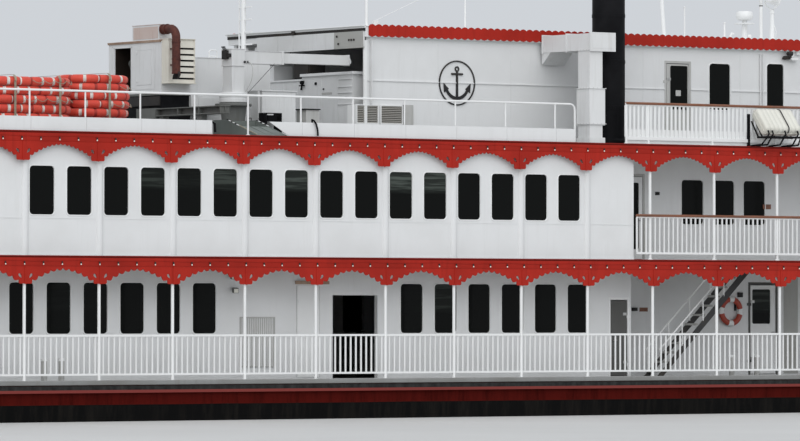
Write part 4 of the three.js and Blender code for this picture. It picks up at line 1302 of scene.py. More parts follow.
class STEAMER_OT_top_houses(SteamerOperator):
    """Pavilion screens and wheelhouse block, with their mouldings"""
    bl_idname = "steamer.top_houses"
    bl_label = "Third deck houses"

    def build(self, sizes):
        house = House(sizes)
        low, high = THIRD + GAP, ROOF - 0.125 - GAP
        trim = Skin()
        for _, side in SIDES:
            place = side_wall(side, TOP_HALF)
            house.wall(place, TOP_AFT, WHEELHOUSE_AFT, low, high)
            house.wall(place, WHEELHOUSE_AFT + GAP, TOP_FORE, low, high,
                       [(6.805, 7.14, 4.37, 4.945), (7.735, 8.01, 4.36, 4.965), (8.35, 8.9, 4.36, 4.965)],
                       [door_opening("house_door")])
            for a, b in ((1.55, 6.09), (6.51, 6.79), (7.15, 7.72), (8.03, 8.33), (8.92, 9.3)):
                trim.box((a, b), (-0.012, 0.001), (4.605, 4.617), place=laid(place))
            trim.box((TOP_AFT, TOP_FORE), (-0.014, 0.001), (THIRD + 0.002, THIRD + 0.07), place=laid(place))
        house.wall(end_wall(TOP_FORE, 1), -1.34, 1.34, low, high,
                   window_row([-1.05, -0.53, 0.0, 0.53, 1.05], 0.44, 4.42, 4.94))
        house.done("top_house", "pavilion_walls", "wheelhouse_walls")
        trim.done("top_house_trim", "ship", "white_paint", "white_paint")


class STEAMER_OT_roof(SteamerOperator):
    """Roof of the top houses with its toothed red band"""
    bl_idname = "steamer.roof"
    bl_label = "Roof"

    def build(self, sizes):
        coat("deckhouse_roof", "white_paint")
        pitch = sizes.tooth_pitch
        tooth = Skin()
        half = pitch / 2
        up = [(-half, 0.0), (half, 0.0), (half, 0.008), (0.55 * half, 0.022), (0.0, 0.030),
              (-0.55 * half, 0.022), (-half, 0.008)]
        tooth.slab(up, lambda u, v, w: (u, -w, v + 0.047), 0.0, 0.012)
        down = [(u, -v) for u, v in up]
        tooth.slab(down, lambda u, v, w: (u, -w, v - 0.047), 0.0, 0.012)
        tooth.box((-half, half), (-0.012, 0.0), (-0.047, 0.047))
        z = ROOF - 0.0475
        aft, fore = 1.485, 9.36
        count = int((fore - aft) / pitch)
        rest = ((fore - aft) - count * pitch) / 2 + half
        paths = [[(aft + rest, -1.4505, z), (fore - rest, -1.4505, z)],
                 [(fore - rest, 1.4505, z), (aft + rest, 1.4505, z)]]
        count = int(2.9 / pitch)
        rest = (2.9 - count * pitch) / 2 + half
        paths.append([(fore + 0.0005, -1.45 + rest, z), (fore + 0.0005, 1.45 - rest, z)])
        grow_pieces("roof_teeth", tooth, paths, "red_paint", "ship", "red_paint", pitch, smooth=0)
        edge = Skin()
        edge.box((1.47, 1.4847), (-1.462, 1.462), (ROOF - 0.0205, ROOF + 0.012))
        edge.box((1.44, 9.372), (-1.462, 1.462), (ROOF + TOUCH, ROOF + 0.012))
        edge.done("roof_edge", "ship", "white_paint", "trim_paint", bevel=0.003)
        header, shade = Skin(), Skin()
        joints = (0.80, 0.352, 0.021, -0.834, -1.44)
        for a, b in zip(joints, joints[1:]):
            header.box((1.462, 1.4845), (b + 0.003, a - 0.003), (5.0, 5.2), 1 if b < -1.4 else 0)
        header.box((1.466, 1.4845), (-1.44, 0.80), (5.012, 5.19))
        # This dark plate under the roof edge is painted shade of the gap beneath it; the small boxes after it are
        # small dark items.
        shade.box((1.474, 1.4848), (-1.455, 1.455), (5.2005, ROOF - 0.021))
        for y, z in ((-0.9, 5.15), (-0.93, 5.06), (-1.15, 5.1), (-1.2, 5.1), (-1.25, 5.1)):
            shade.box((1.452, 1.4618), about(y, 0.012), about(z, 0.012))
        header.done("roof_header_boards", "ship", "white_paint", "plant_paint", "header_grey", bevel=0.0015)
        shade.done("roof_header_gap", "ship", "gear_black", "dark_steel")


# Section of a wooden handrail about its top, and the profiles of a short rail post and a deck post.
HANDRAIL = ((-0.02, -0.03), (0.02, -0.03), (0.024, -0.014), (0.014, 0.0), (-0.014, 0.0), (-0.024, -0.014))
RAIL_POST = ((0.0, 0.0), (0.03, 0.0), (0.03, 0.01), (0.016, 0.016), (0.015, 0.5), (0.0, 0.5))
DECK_POST = ((0.0, 0.0), (0.034, 0.0), (0.034, 0.012), (0.02, 0.02), (0.0185, 1.28), (0.0, 1.28))


class STEAMER_OT_rails(SteamerOperator):
    """Rails of every deck: posts, bars, handrails and balusters"""
    bl_idname = "steamer.rails"
    bl_label = "Rails"

    def build(self, sizes):
        for name, side in SIDES:
            coat("fore_rail_" + name, "trim_paint")
        pitch, width = sizes.baluster_pitch, sizes.baluster_width
        y = RAIL_Y
        main = Skin()
        for side in (-1, 1):
            for x in bays(-9.0, 8.0):
                main.turned([(0, 0), (0.036, 0), (0.036, 0.01), (0.021, 0.016), (0.0185, 0.03),
                             (0.0185, 1.292), (0.024, 1.296), (0.024, 1.3043), (0, 1.3043)],
                            upright(x, side * y, MAIN + GAP), 14)
            main.box((-9.19, 8.19), (side * (y - 0.014), side * (y + 0.014)), (MAIN + 0.512, MAIN + 0.535))
            main.box((-9.19, 8.19), (side * (y - 0.01), side * (y + 0.01)), (MAIN + 0.072, MAIN + 0.094))
        main.done("main_rail_posts_and_bars", "ship", "white_paint", "trim_paint",
                  replaces=("main_rail_starboard", "main_rail_port"))
        paths = []
        for a in bays(-9.0, 7.0):
            for side in (-1, 1):
                paths.append([(a + 0.055, side * y, MAIN + 0.095), (a + BAY - 0.055, side * y, MAIN + 0.095)])
        grow_bars("main_balusters", paths, "trim_paint", "white_paint", pitch, width, 0.012, 0.415)
        self.promenade(sizes)
        self.top()
        self.fore(sizes)
        self.aft()

    def upper(self, name, deck, plan, height, bars, posts):
        """Handrail, long bars and posts of an upper deck's rail. bars: inside, outside, low and high."""
        rail, work = Skin(), Skin()
        top = deck + height
        rail.sweep(plan, [(out, top + up) for out, up in HANDRAIL])
        for inside, outside, low, high in (*bars, (-0.009, 0.009, height - 0.045, height - 0.0302)):
            work.sweep(plan, rectangle(inside, outside, deck + low, deck + high))
        for x, y, profile, sides in posts:
            work.turned(profile, upright(x, y, deck + GAP), sides)
        rail.done(name + "_handrail", "ship", "varnished_wood", "varnished_wood")
        work.done(name + "_rail_work", "ship", "white_paint", "trim_paint", replaces=(name + "_rail",))

    def promenade(self, sizes):
        half, aft = 2.49, UPPER_FORE + 0.01
        round_bow = deck_plan(SECOND_HALF, aft, SECOND_FORE, SECOND_HALF - half)[1:-1]
        plan = [(aft, -half), *round_bow, (aft, half)]
        posts = [(x, side * 2.48, DECK_POST, 12) for x in bays(5.0, 8.0) for side in (-1, 1)]
        posts += [(x, y, RAIL_POST, 10) for x, y in plan[1:-1:2]]
        self.upper("promenade", SECOND, plan, 0.555, [(-0.012, 0.012, 0.07, 0.095)], posts)
        grow_bars("promenade_balusters", [[(x, y, SECOND + 0.094) for x, y in plan]], "trim_paint",
                  "white_paint", sizes.baluster_pitch * 0.95, sizes.baluster_width, 0.014, 0.42)

    def top(self):
        half, aft = 2.45, 4.65
        round_bow = deck_plan(THIRD_HALF, aft, THIRD_FORE, THIRD_HALF - half)[1:-1]
        plan = [(aft, -half), *round_bow, (aft, half)]
        posts = [(x, s * half) for x in [4.66] + bays(5.0, 8.0) for s in (-1, 1)] + plan[1:-1:2]
        bars = [(-0.012, 0.012, 0.05, 0.09), (-0.0145, -0.0083, 0.01, 0.18)]
        self.upper("top", THIRD, plan, 0.51, bars, [(x, y, RAIL_POST, 10) for x, y in posts])
        grow_bars("top_balusters", [[(x, y, THIRD + 0.088) for x, y in plan]], "trim_paint", "white_paint",
                  0.064, 0.03, 0.012, 0.38)

    def fore(self, sizes):
        paths = [[(hull_x(t) - 0.09 * t, side * (hull_half(t) - 0.07), MAIN + 0.095) for t in BOW_STEPS[1:8]]
                 for side in (-1, 1)]
        grow_bars("fore_balusters", paths, "trim_paint", "white_paint", sizes.baluster_pitch,
                  sizes.baluster_width, 0.012, 0.41)

    def aft(self):
        rail, boards = Skin(), Skin()
        y, aft, fore, high = 2.45, -9.24, 3.87, THIRD + 0.464
        bend = 0.07
        path = []
        for side in (-1, 1):
            leg = [(fore, side * y, THIRD + 0.002), (fore, side * y, high - bend)]
            leg += [(fore - bend + bend * math.cos(a), side * y, high - bend + bend * math.sin(a))
                    for a in (math.pi / 8 * k for k in range(1, 5))]
            leg += [(aft + bend, side * y, high)]
            path += leg if side < 0 else list(reversed(leg))
        corner = len(path) // 2
        path[corner:corner] = [(aft + 0.02, -y + 0.02, high), (aft, -y + bend, high), (aft, y - bend, high),
                               (aft + 0.02, y - 0.02, high)]
        rail.tube(path, 0.0125, 8)
        posts = [(1.335 + 0.745 * k, s * y) for k in range(-13, 4) for s in (-1, 1)]
        posts += [(aft, -1.5 + 0.75 * k) for k in range(5)] + [(aft, -y + 0.06), (aft, y - 0.06)]
        for px, py in posts:
            rail.turned([(0, 0), (0.026, 0), (0.026, 0.008), (0.011, 0.014), (0.010, 0.462), (0, 0.462)],
                        upright(px, py, THIRD + GAP), 8)
        rail.done("aft_rail_tubes", "ship", "white_paint", "trim_paint", replaces=("aft_rail",))
        joints = [1.335 + 0.745 * k for k in range(-15, 5)]
        for side in (-1, 1):
            place = side_wall(side, 2.482)
            for a, b in zip(joints, joints[1:]):
                for low, high_x in ((-9.26, -1.42), (-0.1555, 3.86)):
                    c, d = max(a + 0.0015, low), min(b - 0.0015, high_x)
                    if d - c > 0.05:
                        boards.slab(rectangle(c, d, THIRD + 0.006, THIRD + 0.165), place, 0.0, 0.008)
            boards.slab([(-0.347, THIRD + 0.006), (-0.157, THIRD + 0.006), (-0.157, THIRD + 0.165),
                         (-0.622, THIRD + 0.165)],
                        place, 0.0, 0.008)
        boards.slab(rectangle(-2.46, 2.46, THIRD + 0.006, THIRD + 0.165), end_wall(-9.27, -1), 0.0, 0.008)
        boards.done("kick_boards", "ship", "white_paint", "white_paint", bevel=0.0012, smooth=0)


class STEAMER_OT_doors(SteamerOperator):
    """The eight hinged door leaves"""
    bl_idname = "steamer.doors"
    bl_label = "Doors"

    def build(self, sizes):
        for name in DOORS:
            frames = Skin()
            for side_name, side in SIDES:
                self.leaf(name, side_name, side, frames)
            frames.done(name + "_frames", "ship", "white_paint", DOOR_LOOKS[name][2], bevel=0.001)

    def leaf(self, name, side_name, side, frames):
        half, deck, aft, width, height, hinge = DOORS[name]
        shares, leaf_finish, _ = DOOR_LOOKS[name]
        low = deck + SILL
        place = side_wall(side, half)
        leaf = Skin()
        holes = []
        if shares:
            u0, u1 = aft + shares[0] * width, aft + shares[1] * width
            v0, v1 = low + shares[2] * height, low + shares[3] * height
            hole = rounded(u0, u1, v0, v1, 0.022)
            holes = [hole]
            leaf.slab(rounded(u0 - 0.012, u1 + 0.012, v0 - 0.012, v1 + 0.012, 0.032), place, -0.004, 0.0,
                      [hole])
            pane = Skin()
            pane.slab(rounded(u0 - 0.002, u1 + 0.002, v0 - 0.002, v1 + 0.002, 0.024), place, 0.008, 0.014)
            pane.done(f"{name}_pane_{side_name}", f"{name}_{side_name}", "window_glass", "window_glass")
            if shares[2] > 0.4:
                panel = rounded(aft + 0.14 * width, aft + 0.86 * width, low + 0.07 * height,
                                low + 0.44 * height, 0.015)
                leaf.slab(panel, place, -0.003, 0.0)
        leaf.slab(rectangle(aft, aft + width, low, low + height), place, 0.0, LEAF, holes)
        pin = aft if hinge > 0 else aft + width
        for z in (low + 0.16 * height, low + 0.8 * height):
            leaf.turned(rod(0.006, 0.0003, 0.034), upright(pin, side * (half + 0.006), z), 10, 1)
            leaf.box((pin, pin + hinge * 0.06), (side * half, side * (half + 0.005)), (z + 0.0003, z + 0.034),
                     1)
            frames.turned(rod(0.006, -0.034, -0.0003), upright(pin, side * (half + 0.006), z), 10)
            frames.box((pin, pin - hinge * 0.06), (side * half, side * (half + 0.005)),
                       (z - 0.034, z - 0.0003))
        knob = aft + width - 0.03 if hinge > 0 else aft + 0.03
        z = low + 0.47 * height
        leaf.tube([(knob, side * (half + 0.001), z), (knob, side * (half + 0.022), z),
                   (knob - hinge * 0.012, side * (half + 0.026), z),
                   (knob - hinge * 0.045, side * (half + 0.026), z)],
                  0.005, 8, finish=1)
        leaf.done(f"{name}_leaf_{side_name}", f"{name}_{side_name}", "white_paint", leaf_finish,
                  "bright_metal", replaces=(f"{name}_{side_name}",))
        opening = door_opening(name)
        outer = (opening[0] - 0.03, opening[1] + 0.03, opening[2] - 0.004, opening[3] + 0.03)
        for part in ((outer[0], opening[0] - 0.001), (opening[1] + 0.001, outer[1])):
            frames.slab(rectangle(*part, outer[2], outer[3]), place, -0.004, 0.0)
        frames.slab(rectangle(opening[0] - 0.001, opening[1] + 0.001, opening[3], outer[3]), place, -0.004,
                    0.0)


class STEAMER_OT_stern_wheel(SteamerOperator):
    """Paddle wheel, its beams with their bearings, and the rudders"""
    bl_idname = "steamer.stern_wheel"
    bl_label = "Stern wheel"

    def build(self, sizes):
        axle, spiders = (-11.0, 0.0, 1.5), (-1.65, 0.0, 1.65)
        shaft = Skin()
        shaft.turned([(0, -2.279), (0.084, -2.279), (0.0895, -2.272), (0.0895, 2.272), (0.084, 2.279),
                      (0, 2.279)],
                     athwart(*axle), 40)
        for y in (-1.97, 1.97):
            shaft.turned([(0, -0.03), (0.12, -0.03), (0.125, -0.025), (0.125, 0.025), (0.12, 0.03),
                          (0, 0.03)],
                         athwart(axle[0], y, axle[2]), 32)
        for y in spiders:
            shaft.turned([(0, -0.085), (0.14, -0.085), (0.15, -0.075), (0.15, -0.047), (0.205, -0.045),
                          (0.212, -0.038), (0.212, 0.038), (0.205, 0.045), (0.15, 0.047), (0.15, 0.075),
                          (0.14, 0.085), (0, 0.085)],
                         athwart(axle[0], y, axle[2]), 48)
            for low, high in ((1.09, 1.15), (0.6, 0.63)):
                shaft.rings([[(axle[0] + r * math.cos(a), y + s, axle[2] + r * math.sin(a))
                              for r, s in ((low, -0.02), (high, -0.02), (high, 0.02), (low, 0.02))]
                             for a in (math.pi * k / 36 for k in range(72))], closed=True)
        shaft.done("wheel_shaft_and_rings", "wheel", "red_paint", "wheel_red", replaces=("paddle_wheel",))
        arm = Skin()
        ends = ((0.1, 0.02, 0.036), (1.244, 0.017, 0.026))
        arm.add([(r, s * t, v * u) for r, t, u in ends for s in (-1, 1) for v in (-1, 1)],
                [(0, 1, 3, 2), (4, 6, 7, 5), (0, 4, 5, 1), (2, 3, 7, 6), (0, 2, 6, 4), (1, 5, 7, 3)])
        grow_around("wheel_arms", arm, [(axle[0], y, axle[2]) for y in spiders], 12, "wheel_red", "wheel",
                    "red_paint", bevel=0.003)
        board = Skin()
        for low, high in ((0.962, 1.055), (1.059, 1.151), (1.155, 1.248)):
            board.box((low, high), (-1.9, 1.9), (0.0285, 0.0445))
        grow_around("wheel_boards", board, [axle], 12, "wheel_board", "wheel", "red_paint", bevel=0.003)
        clip = Skin()
        clip.box((0.97, 1.24), (-0.03, 0.03), (0.0446, 0.0506))
        for r in (1.01, 1.105, 1.2):
            clip.turned([(0.012, 0), (0.012, 0.006), (0.009, 0.009), (0, 0.009)],
                        lambda a, b, h, r=r: (r + a, b, 0.0506 + h), 6)
        for s in (-1, 1):
            clip.turned([(0.014, 0), (0.014, 0.008), (0.01, 0.011), (0, 0.011)],
                        lambda a, b, h, s=s: (0.18 + a, s * (0.045 + h), b), 6)
        grow_around("wheel_clips_and_bolts", clip, [(axle[0], y, axle[2]) for y in spiders], 12, "dark_steel",
                    "wheel", "gear_black")
        bearing = Skin()
        for name, side in SIDES:
            coat("wheel_beam_" + name, "timber_black")
            coat("rudder_" + name, "dark_steel")
            y = side * 2.155
            for x in (-12.3, -10.3, -9.3):
                bearing.slab(rectangle(2.056, 2.254, 1.0465 if x < -9.7 else 1.0505, 1.384),
                             lambda u, v, w, x=x, s=side: (x + w, s * u, v), 0, 0.05,
                             [rectangle(2.0598, 2.2502, 1.0502 if x < -9.7 else 1.0508, 1.3802)])
            for x in (-11.16, -10.84):
                for dy in (-0.045, 0.045):
                    bearing.turned([(0.016, 0), (0.016, 0.014), (0.013, 0.016), (0.008, 0.016),
                                    (0.008, 0.034), (0, 0.034)],
                                   upright(x, y + dy, 1.66), 6)
            bearing.turned([(0, 0), (0.016, 0), (0.016, 0.03), (0.024, 0.032), (0.024, 0.05), (0, 0.05)],
                           upright(-11, y, 1.66), 12)
            bearing.box((-11.215, -10.785), about(y, 0.075), (1.644, 1.6605))
        bearing.done("wheel_bearing_fittings", "ship", "gear_black", "dark_steel", bevel=0.0015)


class STEAMER_OT_funnel(SteamerOperator):
    """Black funnel with riveted bands and a flared crown"""
    bl_idname = "steamer.funnel"
    bl_label = "Funnel"

    def build(self, sizes):
        tall, radius = FUNNEL_TOP - THIRD, 0.2
        bands = [0.45 + 0.56 * k for k in range(5)]
        profile = [(0, 0.0004), (0.235, 0.0004), (0.236, 0.05), (0.228, 0.06), (0.205, 0.075), (radius, 0.09)]
        for h in bands:
            profile += [(radius, h - 0.021), (radius + 0.0035, h - 0.02), (radius + 0.0035, h + 0.02),
                        (radius, h + 0.021)]
        profile += [(radius, tall - 0.42), (0.214, tall - 0.408), (0.216, tall - 0.39), (0.214, tall - 0.37),
                    (0.203, tall - 0.355), (0.206, tall - 0.28), (0.218, tall - 0.2), (0.248, tall - 0.1),
                    (0.286, tall - 0.045), (0.322, tall - 0.012), (0.33, tall - 0.004), (0.322, tall),
                    (0.31, tall - 0.004), (0.25, tall - 0.07), (0.19, tall - 0.16), (0.187, tall - 0.2),
                    (0, tall - 0.2)]
        pipe = Skin()
        pipe.turned(profile, upright(FUNNEL_X, FUNNEL_Y, THIRD), 64)
        pipe.done("funnel_shell", "ship", "gear_black", "black_paint", replaces=("funnel_starboard",))
        rivet = Skin()
        rivet.turned([(0.0045, 0), (0.0038, 0.0018), (0.0018, 0.0028), (0, 0.003)],
                     lambda a, b, h: (radius + 0.0034 + h, a, b), 6)
        rows = [(FUNNEL_X, FUNNEL_Y, THIRD + h + s) for h in bands for s in (-0.011, 0.011)]
        grow_around("funnel_rivets", rivet, rows, 48, "black_paint", "ship", "gear_black", upright_axis=True)
        rib = Skin()
        near = ((0.2, -0.30, 0.004), (0.2125, -0.2, 0.004), (0.243, -0.1, 0.005), (0.28, -0.045, 0.006),
                (0.306, -0.02, 0.006))
        far = ((0.21, -0.30, 0.004), (0.2225, -0.2, 0.004), (0.255, -0.1, 0.005), (0.293, -0.05, 0.006),
               (0.32, -0.02, 0.006))
        rib.add([(r, s * t, h) for r, h, t in (*near, *far) for s in (-1, 1)],
                [(2 * i, 2 * i + 1, 2 * i + 3, 2 * i + 2) for i in range(4)]
                + [(10 + 2 * i, 12 + 2 * i, 13 + 2 * i, 11 + 2 * i) for i in range(4)]
                + [(2 * i, 2 * i + 2, 12 + 2 * i, 10 + 2 * i) for i in range(4)]
                + [(2 * i + 1, 11 + 2 * i, 13 + 2 * i, 2 * i + 3) for i in range(4)]
                + [(0, 10, 11, 1), (8, 9, 19, 18)])
        grow_around("funnel_crown_ribs", rib, [(FUNNEL_X, FUNNEL_Y, FUNNEL_TOP)], 24, "black_paint", "ship",
                    "gear_black", upright_axis=True)


class STEAMER_OT_air_ducts(SteamerOperator):
    """White air ducts with flanges and bolts"""
    bl_idname = "steamer.air_ducts"
    bl_label = "Air ducts"

    def build(self, sizes):
        flanges, joints = Skin(), []
        for name, side in SIDES:
            coat("air_duct_" + name, "duct_paint")
            for z, grow_by in ((THIRD + 0.66, 0.0), (THIRD + 0.232, 0.0), (THIRD + 1.121, -0.012)):
                lo, hi, out = 4.116 - grow_by, 4.355 + grow_by, 2.424 + grow_by
                flanges.slab(rectangle(lo - 0.012, hi + 0.012, 2.17 - 0.012 - grow_by, out + 0.012),
                             lambda u, v, w, s=side, z=z: (u, s * v, z + w), 0, 0.006,
                             [rectangle(lo - 0.0003, hi + 0.0003, 2.1697 - grow_by, out + 0.0003)])
                joints.append(((lo - 0.006, side * (out + 0.006)), z + 0.006, hi + 0.006))
            for y in (1.475, 1.95, 2.434):
                flanges.slab(rectangle(4.118, 4.507, THIRD + 1.113, THIRD + 1.342),
                             lambda u, v, w, s=side, y=y: (u, s * (y + w), v), -0.006, 0.006,
                             [rectangle(4.1297, 4.4953, THIRD + 1.1247, THIRD + 1.3303)])
            flanges.slab([(1.4506, THIRD + 1.1246), (1.62, THIRD + 1.1246), (1.4506, THIRD + 0.98)],
                         lambda u, v, w, s=side: (4.14 + w, s * u, v), 0, 0.34)
            flanges.slab(rectangle(4.15, 4.475, THIRD + 1.15, THIRD + 1.305),
                         lambda u, v, w, s=side: (u, s * (2.4402 + w), v), 0, 0.003)
        flanges.done("air_duct_flanges", "ship", "white_paint", "duct_paint", bevel=0.001)
        paths = []
        for (x, y), z, fore in joints:
            paths.append([(x, y, z), (fore, y, z)])
            paths.append([(x, y, z), (x, y - math.copysign(0.24, y), z)])
        head = Skin()
        head.turned([(0.006, 0), (0.006, 0.003), (0.004, 0.005), (0, 0.005)], upright(0, 0, 0), 6)
        grow_pieces("air_duct_bolts", head, paths, "bright_metal", "ship", "white_paint", 0.058)


class STEAMER_OT_life_rafts(SteamerOperator):
    """Raft cases on their tube cradles, with straps"""
    bl_idname = "steamer.life_rafts"
    bl_label = "Life rafts"

    def build(self, sizes):
        for name, side in SIDES:
            lean = -side * 0.89
            cos, sin = math.cos(lean), math.sin(lean)

            def place(a, b, c, s=side, cos=cos, sin=sin):
                return (6.87 + c, s * 2.63 + a * cos - b * sin, THIRD + 0.298 + a * sin + b * cos)

            def loop(c, inset, round_by=0.056):
                wide, thick = 0.18 - inset, 0.075 - inset
                outline = rounded(-wide, wide, -thick, thick, max(0.02, round_by - inset), 6)
                return [place(a, b, c) for a, b in outline]

            case = Skin()
            steps = [(-0.28, 0.03), (-0.2765, 0.017), (-0.2675, 0.008), (-0.2525, 0.002), (-0.2375, 0.0)]
            body = []
            for k in range(7):
                c = -0.2 + 0.0667 * k
                body += [(c - 0.016, 0.0), (c - 0.009, 0.005), (c + 0.009, 0.005), (c + 0.016, 0.0)]
            steps += body + [(-c, i) for c, i in reversed(steps)]
            case.rings([loop(c, i) for c, i in steps])
            lip = ((-0.187, -0.007), (-0.176, -0.009), (-0.176, 0.009), (-0.187, 0.007))
            for end in (1, -1):
                case.rings([[place(end * a, b, c) for a, b in lip] for c in (-0.27, 0.27)])
            for c in (-0.28, 0.28):
                out = math.copysign(0.006, c)
                bar = ((-0.007, -out * 2), (-0.007, out), (0.007, out), (0.007, -out * 2))
                case.rings([[place(a, b, c + d) for b, d in bar] for a in (-0.15, 0.15)])
            case.done("raft_case_" + name, "ship", "raft_cream", "raft_case", smooth=50)
            straps = Skin()
            c = 0.078
            outer = [loop(c + d, -0.0035, 0.058) for d in (-0.008, 0.008)]
            inner = [loop(c + d, -0.0003) for d in (0.008, -0.008)]
            straps.rings(outer + inner, closed=True)
            straps.done("raft_straps_" + name, "ship", "rubber_black", "black_rubber", smooth=50)
            cradle = Skin()
            out, near = side * 2.777, side * 2.603
            for y, z in ((out, 0.112), (near, 0.112)):
                cradle.tube([(6.59, y, THIRD + z), (7.15, y, THIRD + z)], 0.0125, 8)
            for x, foot in ((6.605, 6.58), (6.67, 6.67), (6.87, 6.87), (7.07, 7.07), (7.135, 7.16)):
                cradle.tube([(x, out, THIRD + 0.112), (foot, side * 2.7, THIRD + 0.02),
                             (foot, side * 2.53, THIRD + 0.012), (foot, side * 2.49, THIRD + 0.008)], 0.0105,
                            8)
                cradle.tube([(x, out, THIRD + 0.112), (x, side * 2.81, THIRD + 0.15),
                             (x, side * 2.79, THIRD + 0.19)],
                            0.0105, 8)
                cradle.tube([(x, out, THIRD + 0.112), (x, near, THIRD + 0.112),
                             (x, side * 2.53, THIRD + 0.22), (x, side * 2.47, THIRD + 0.31)], 0.0105, 8)
                cradle.box(about(foot, 0.03), (side * 2.47, side * 2.53), (THIRD + TOUCH, THIRD + 0.008))
            cradle.box((6.553, 6.583), (side * 2.472, side * 2.444), (THIRD + TOUCH, THIRD + 0.40))
            cradle.done("raft_cradle_" + name, "ship", "gear_black", "black_paint",
                        replaces=("life_raft_" + name,))


class STEAMER_OT_crane(SteamerOperator):
    """Slewing crane: pedestal, column and boom, sliding section, hose and stay"""
    bl_idname = "steamer.crane"
    bl_label = "Deck crane"

    def build(self, sizes):
        x, y = -0.25, -1.2
        hose = [(-0.09, -1.2675, 4.795), (-0.0895, -1.28, 4.7945)]
        hose += bezier((-0.0888, -1.292, 4.793), (-0.06, -1.38, 4.74), (-0.07, -1.36, 4.55),
                       (-0.14, -1.285, 4.4405), 20)
        piece = Skin()
        piece.tube(hose, 0.0045, 8)
        cable = piece.done("crane_hose", "crane", "rubber_black", "pale_grey")
        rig.cord(cable, exit=hose[0], length=path_length(hose), diameter=0.009, far_end="object",
                stiffness="medium", lay="hanging", path=hose)
        base = Skin()
        base.turned([(0, 0.0004), (0.16, 0.0004), (0.16, 0.016), (0.13, 0.02), (0.118, 0.06), (0.155, 0.37),
                     (0.16, 0.385), (0.212, 0.388), (0.218, 0.392), (0.218, 0.412), (0.212, 0.418),
                     (0.165, 0.42), (0.165, 0.4297), (0, 0.4297)],
                    upright(x, y, THIRD), 48)
        base.done("crane_pedestal", "ship", "deck_grey", "gear_grey", replaces=("crane_base",))
        arm = Skin()
        arm.turned([(0, 0.0006), (0.165, 0.0006), (0.17, 0.006), (0.17, 0.05), (0.163, 0.052), (0.163, 0.062),
                    (0.17, 0.064), (0.17, 0.106), (0.16, 0.118), (0.1, 0.125), (0, 0.125)],
                   upright(x, y, 4.31), 48)
        arm.box(about(x, 0.086), about(y, 0.096), (4.43, 4.744))
        arm.box(about(x, 0.095), about(y, 0.105), (4.7442, 4.937))
        arm.box(about(x, 0.099), about(y, 0.109), (4.7405, 4.7498))
        arm.box(about(x, 0.1), about(y, 0.11), (4.936, 4.945))
        boom = rectangle(y - 0.06, y + 0.06, 4.78, 4.92)
        bore = rectangle(y - 0.05, y + 0.05, 4.79, 4.91)
        arm.slab(boom, crosswise, -0.132, 0.43, [bore])
        arm.box((-0.156, -0.131), about(y, 0.074), (4.768, 4.932))
        arm.slab(rectangle(y - 0.07, y + 0.07, 4.77, 4.93), crosswise, 0.404, 0.4304, [bore])
        for z in (4.7735, 4.9202):
            arm.box((-0.13, 0.4038), about(y, 0.067), (z, z + 0.0062))
        arm.done("crane_column_and_boom", "crane", "white_paint", "crane_paint", bevel=0.0025,
                 replaces=("crane_post",))
        fittings = Skin()
        fittings.box((-0.385, -0.3455), (-1.24, -1.15), (4.82, 4.925))
        fittings.box((-0.375, -0.3455), (-1.30, -1.2405), (4.845, 4.885))
        for k in range(4):
            py = -1.225 + 0.02 * k
            fittings.tube([(-0.365, py, 4.92), (-0.375, py, 4.945), (-0.39, py, 4.96)], 0.004, 6)
            fittings.turned([(0, -0.008), (0.008, -0.004), (0.008, 0.004), (0, 0.008)],
                            upright(-0.392, py, 4.965), 8)
        fittings.turned([(0, -0.125), (0.014, -0.125), (0.014, -0.115), (0.009, -0.112), (0.009, 0.112),
                         (0.014, 0.115), (0.014, 0.125), (0, 0.125)], athwart(-0.168, y, 4.79), 12)
        fittings.box((-0.098, -0.078), (-1.2715, -1.2602), (4.785, 4.805))
        fittings.tube([(0.299, -1.262, 4.782), (-0.085, -1.25, 4.42)], 0.003, 6)
        fittings.done("crane_valves_and_pin", "crane", "gear_black", "dark_steel")
        inner = Skin()
        inner.box((-0.12, 1.39), about(y, 0.0496), (4.7904, 4.9096))
        inner.box((1.39, 1.396), about(y, 0.055), (4.784, 4.916))
        for s in (-1, 1):
            inner.slab([(1.392, 4.80), (1.43, 4.81), (1.437, 4.835), (1.425, 4.87), (1.392, 4.90)],
                       lambda u, v, w, s=s: (u, y + s * (0.026 + w), v), 0, 0.007)
        inner.done("crane_sliding_section", "crane_inner", "white_paint", "crane_paint", bevel=0.002,
                   replaces=("crane_extension",))
        wheel = Skin()
        wheel.turned([(0, -0.022), (0.026, -0.022), (0.026, -0.016), (0.018, -0.008), (0.018, 0.008),
                      (0.026, 0.016), (0.026, 0.022), (0, 0.022)], athwart(1.413, y, 4.838), 20)
        wheel.done("crane_rope_wheel", "crane_inner", "gear_black", "dark_steel")


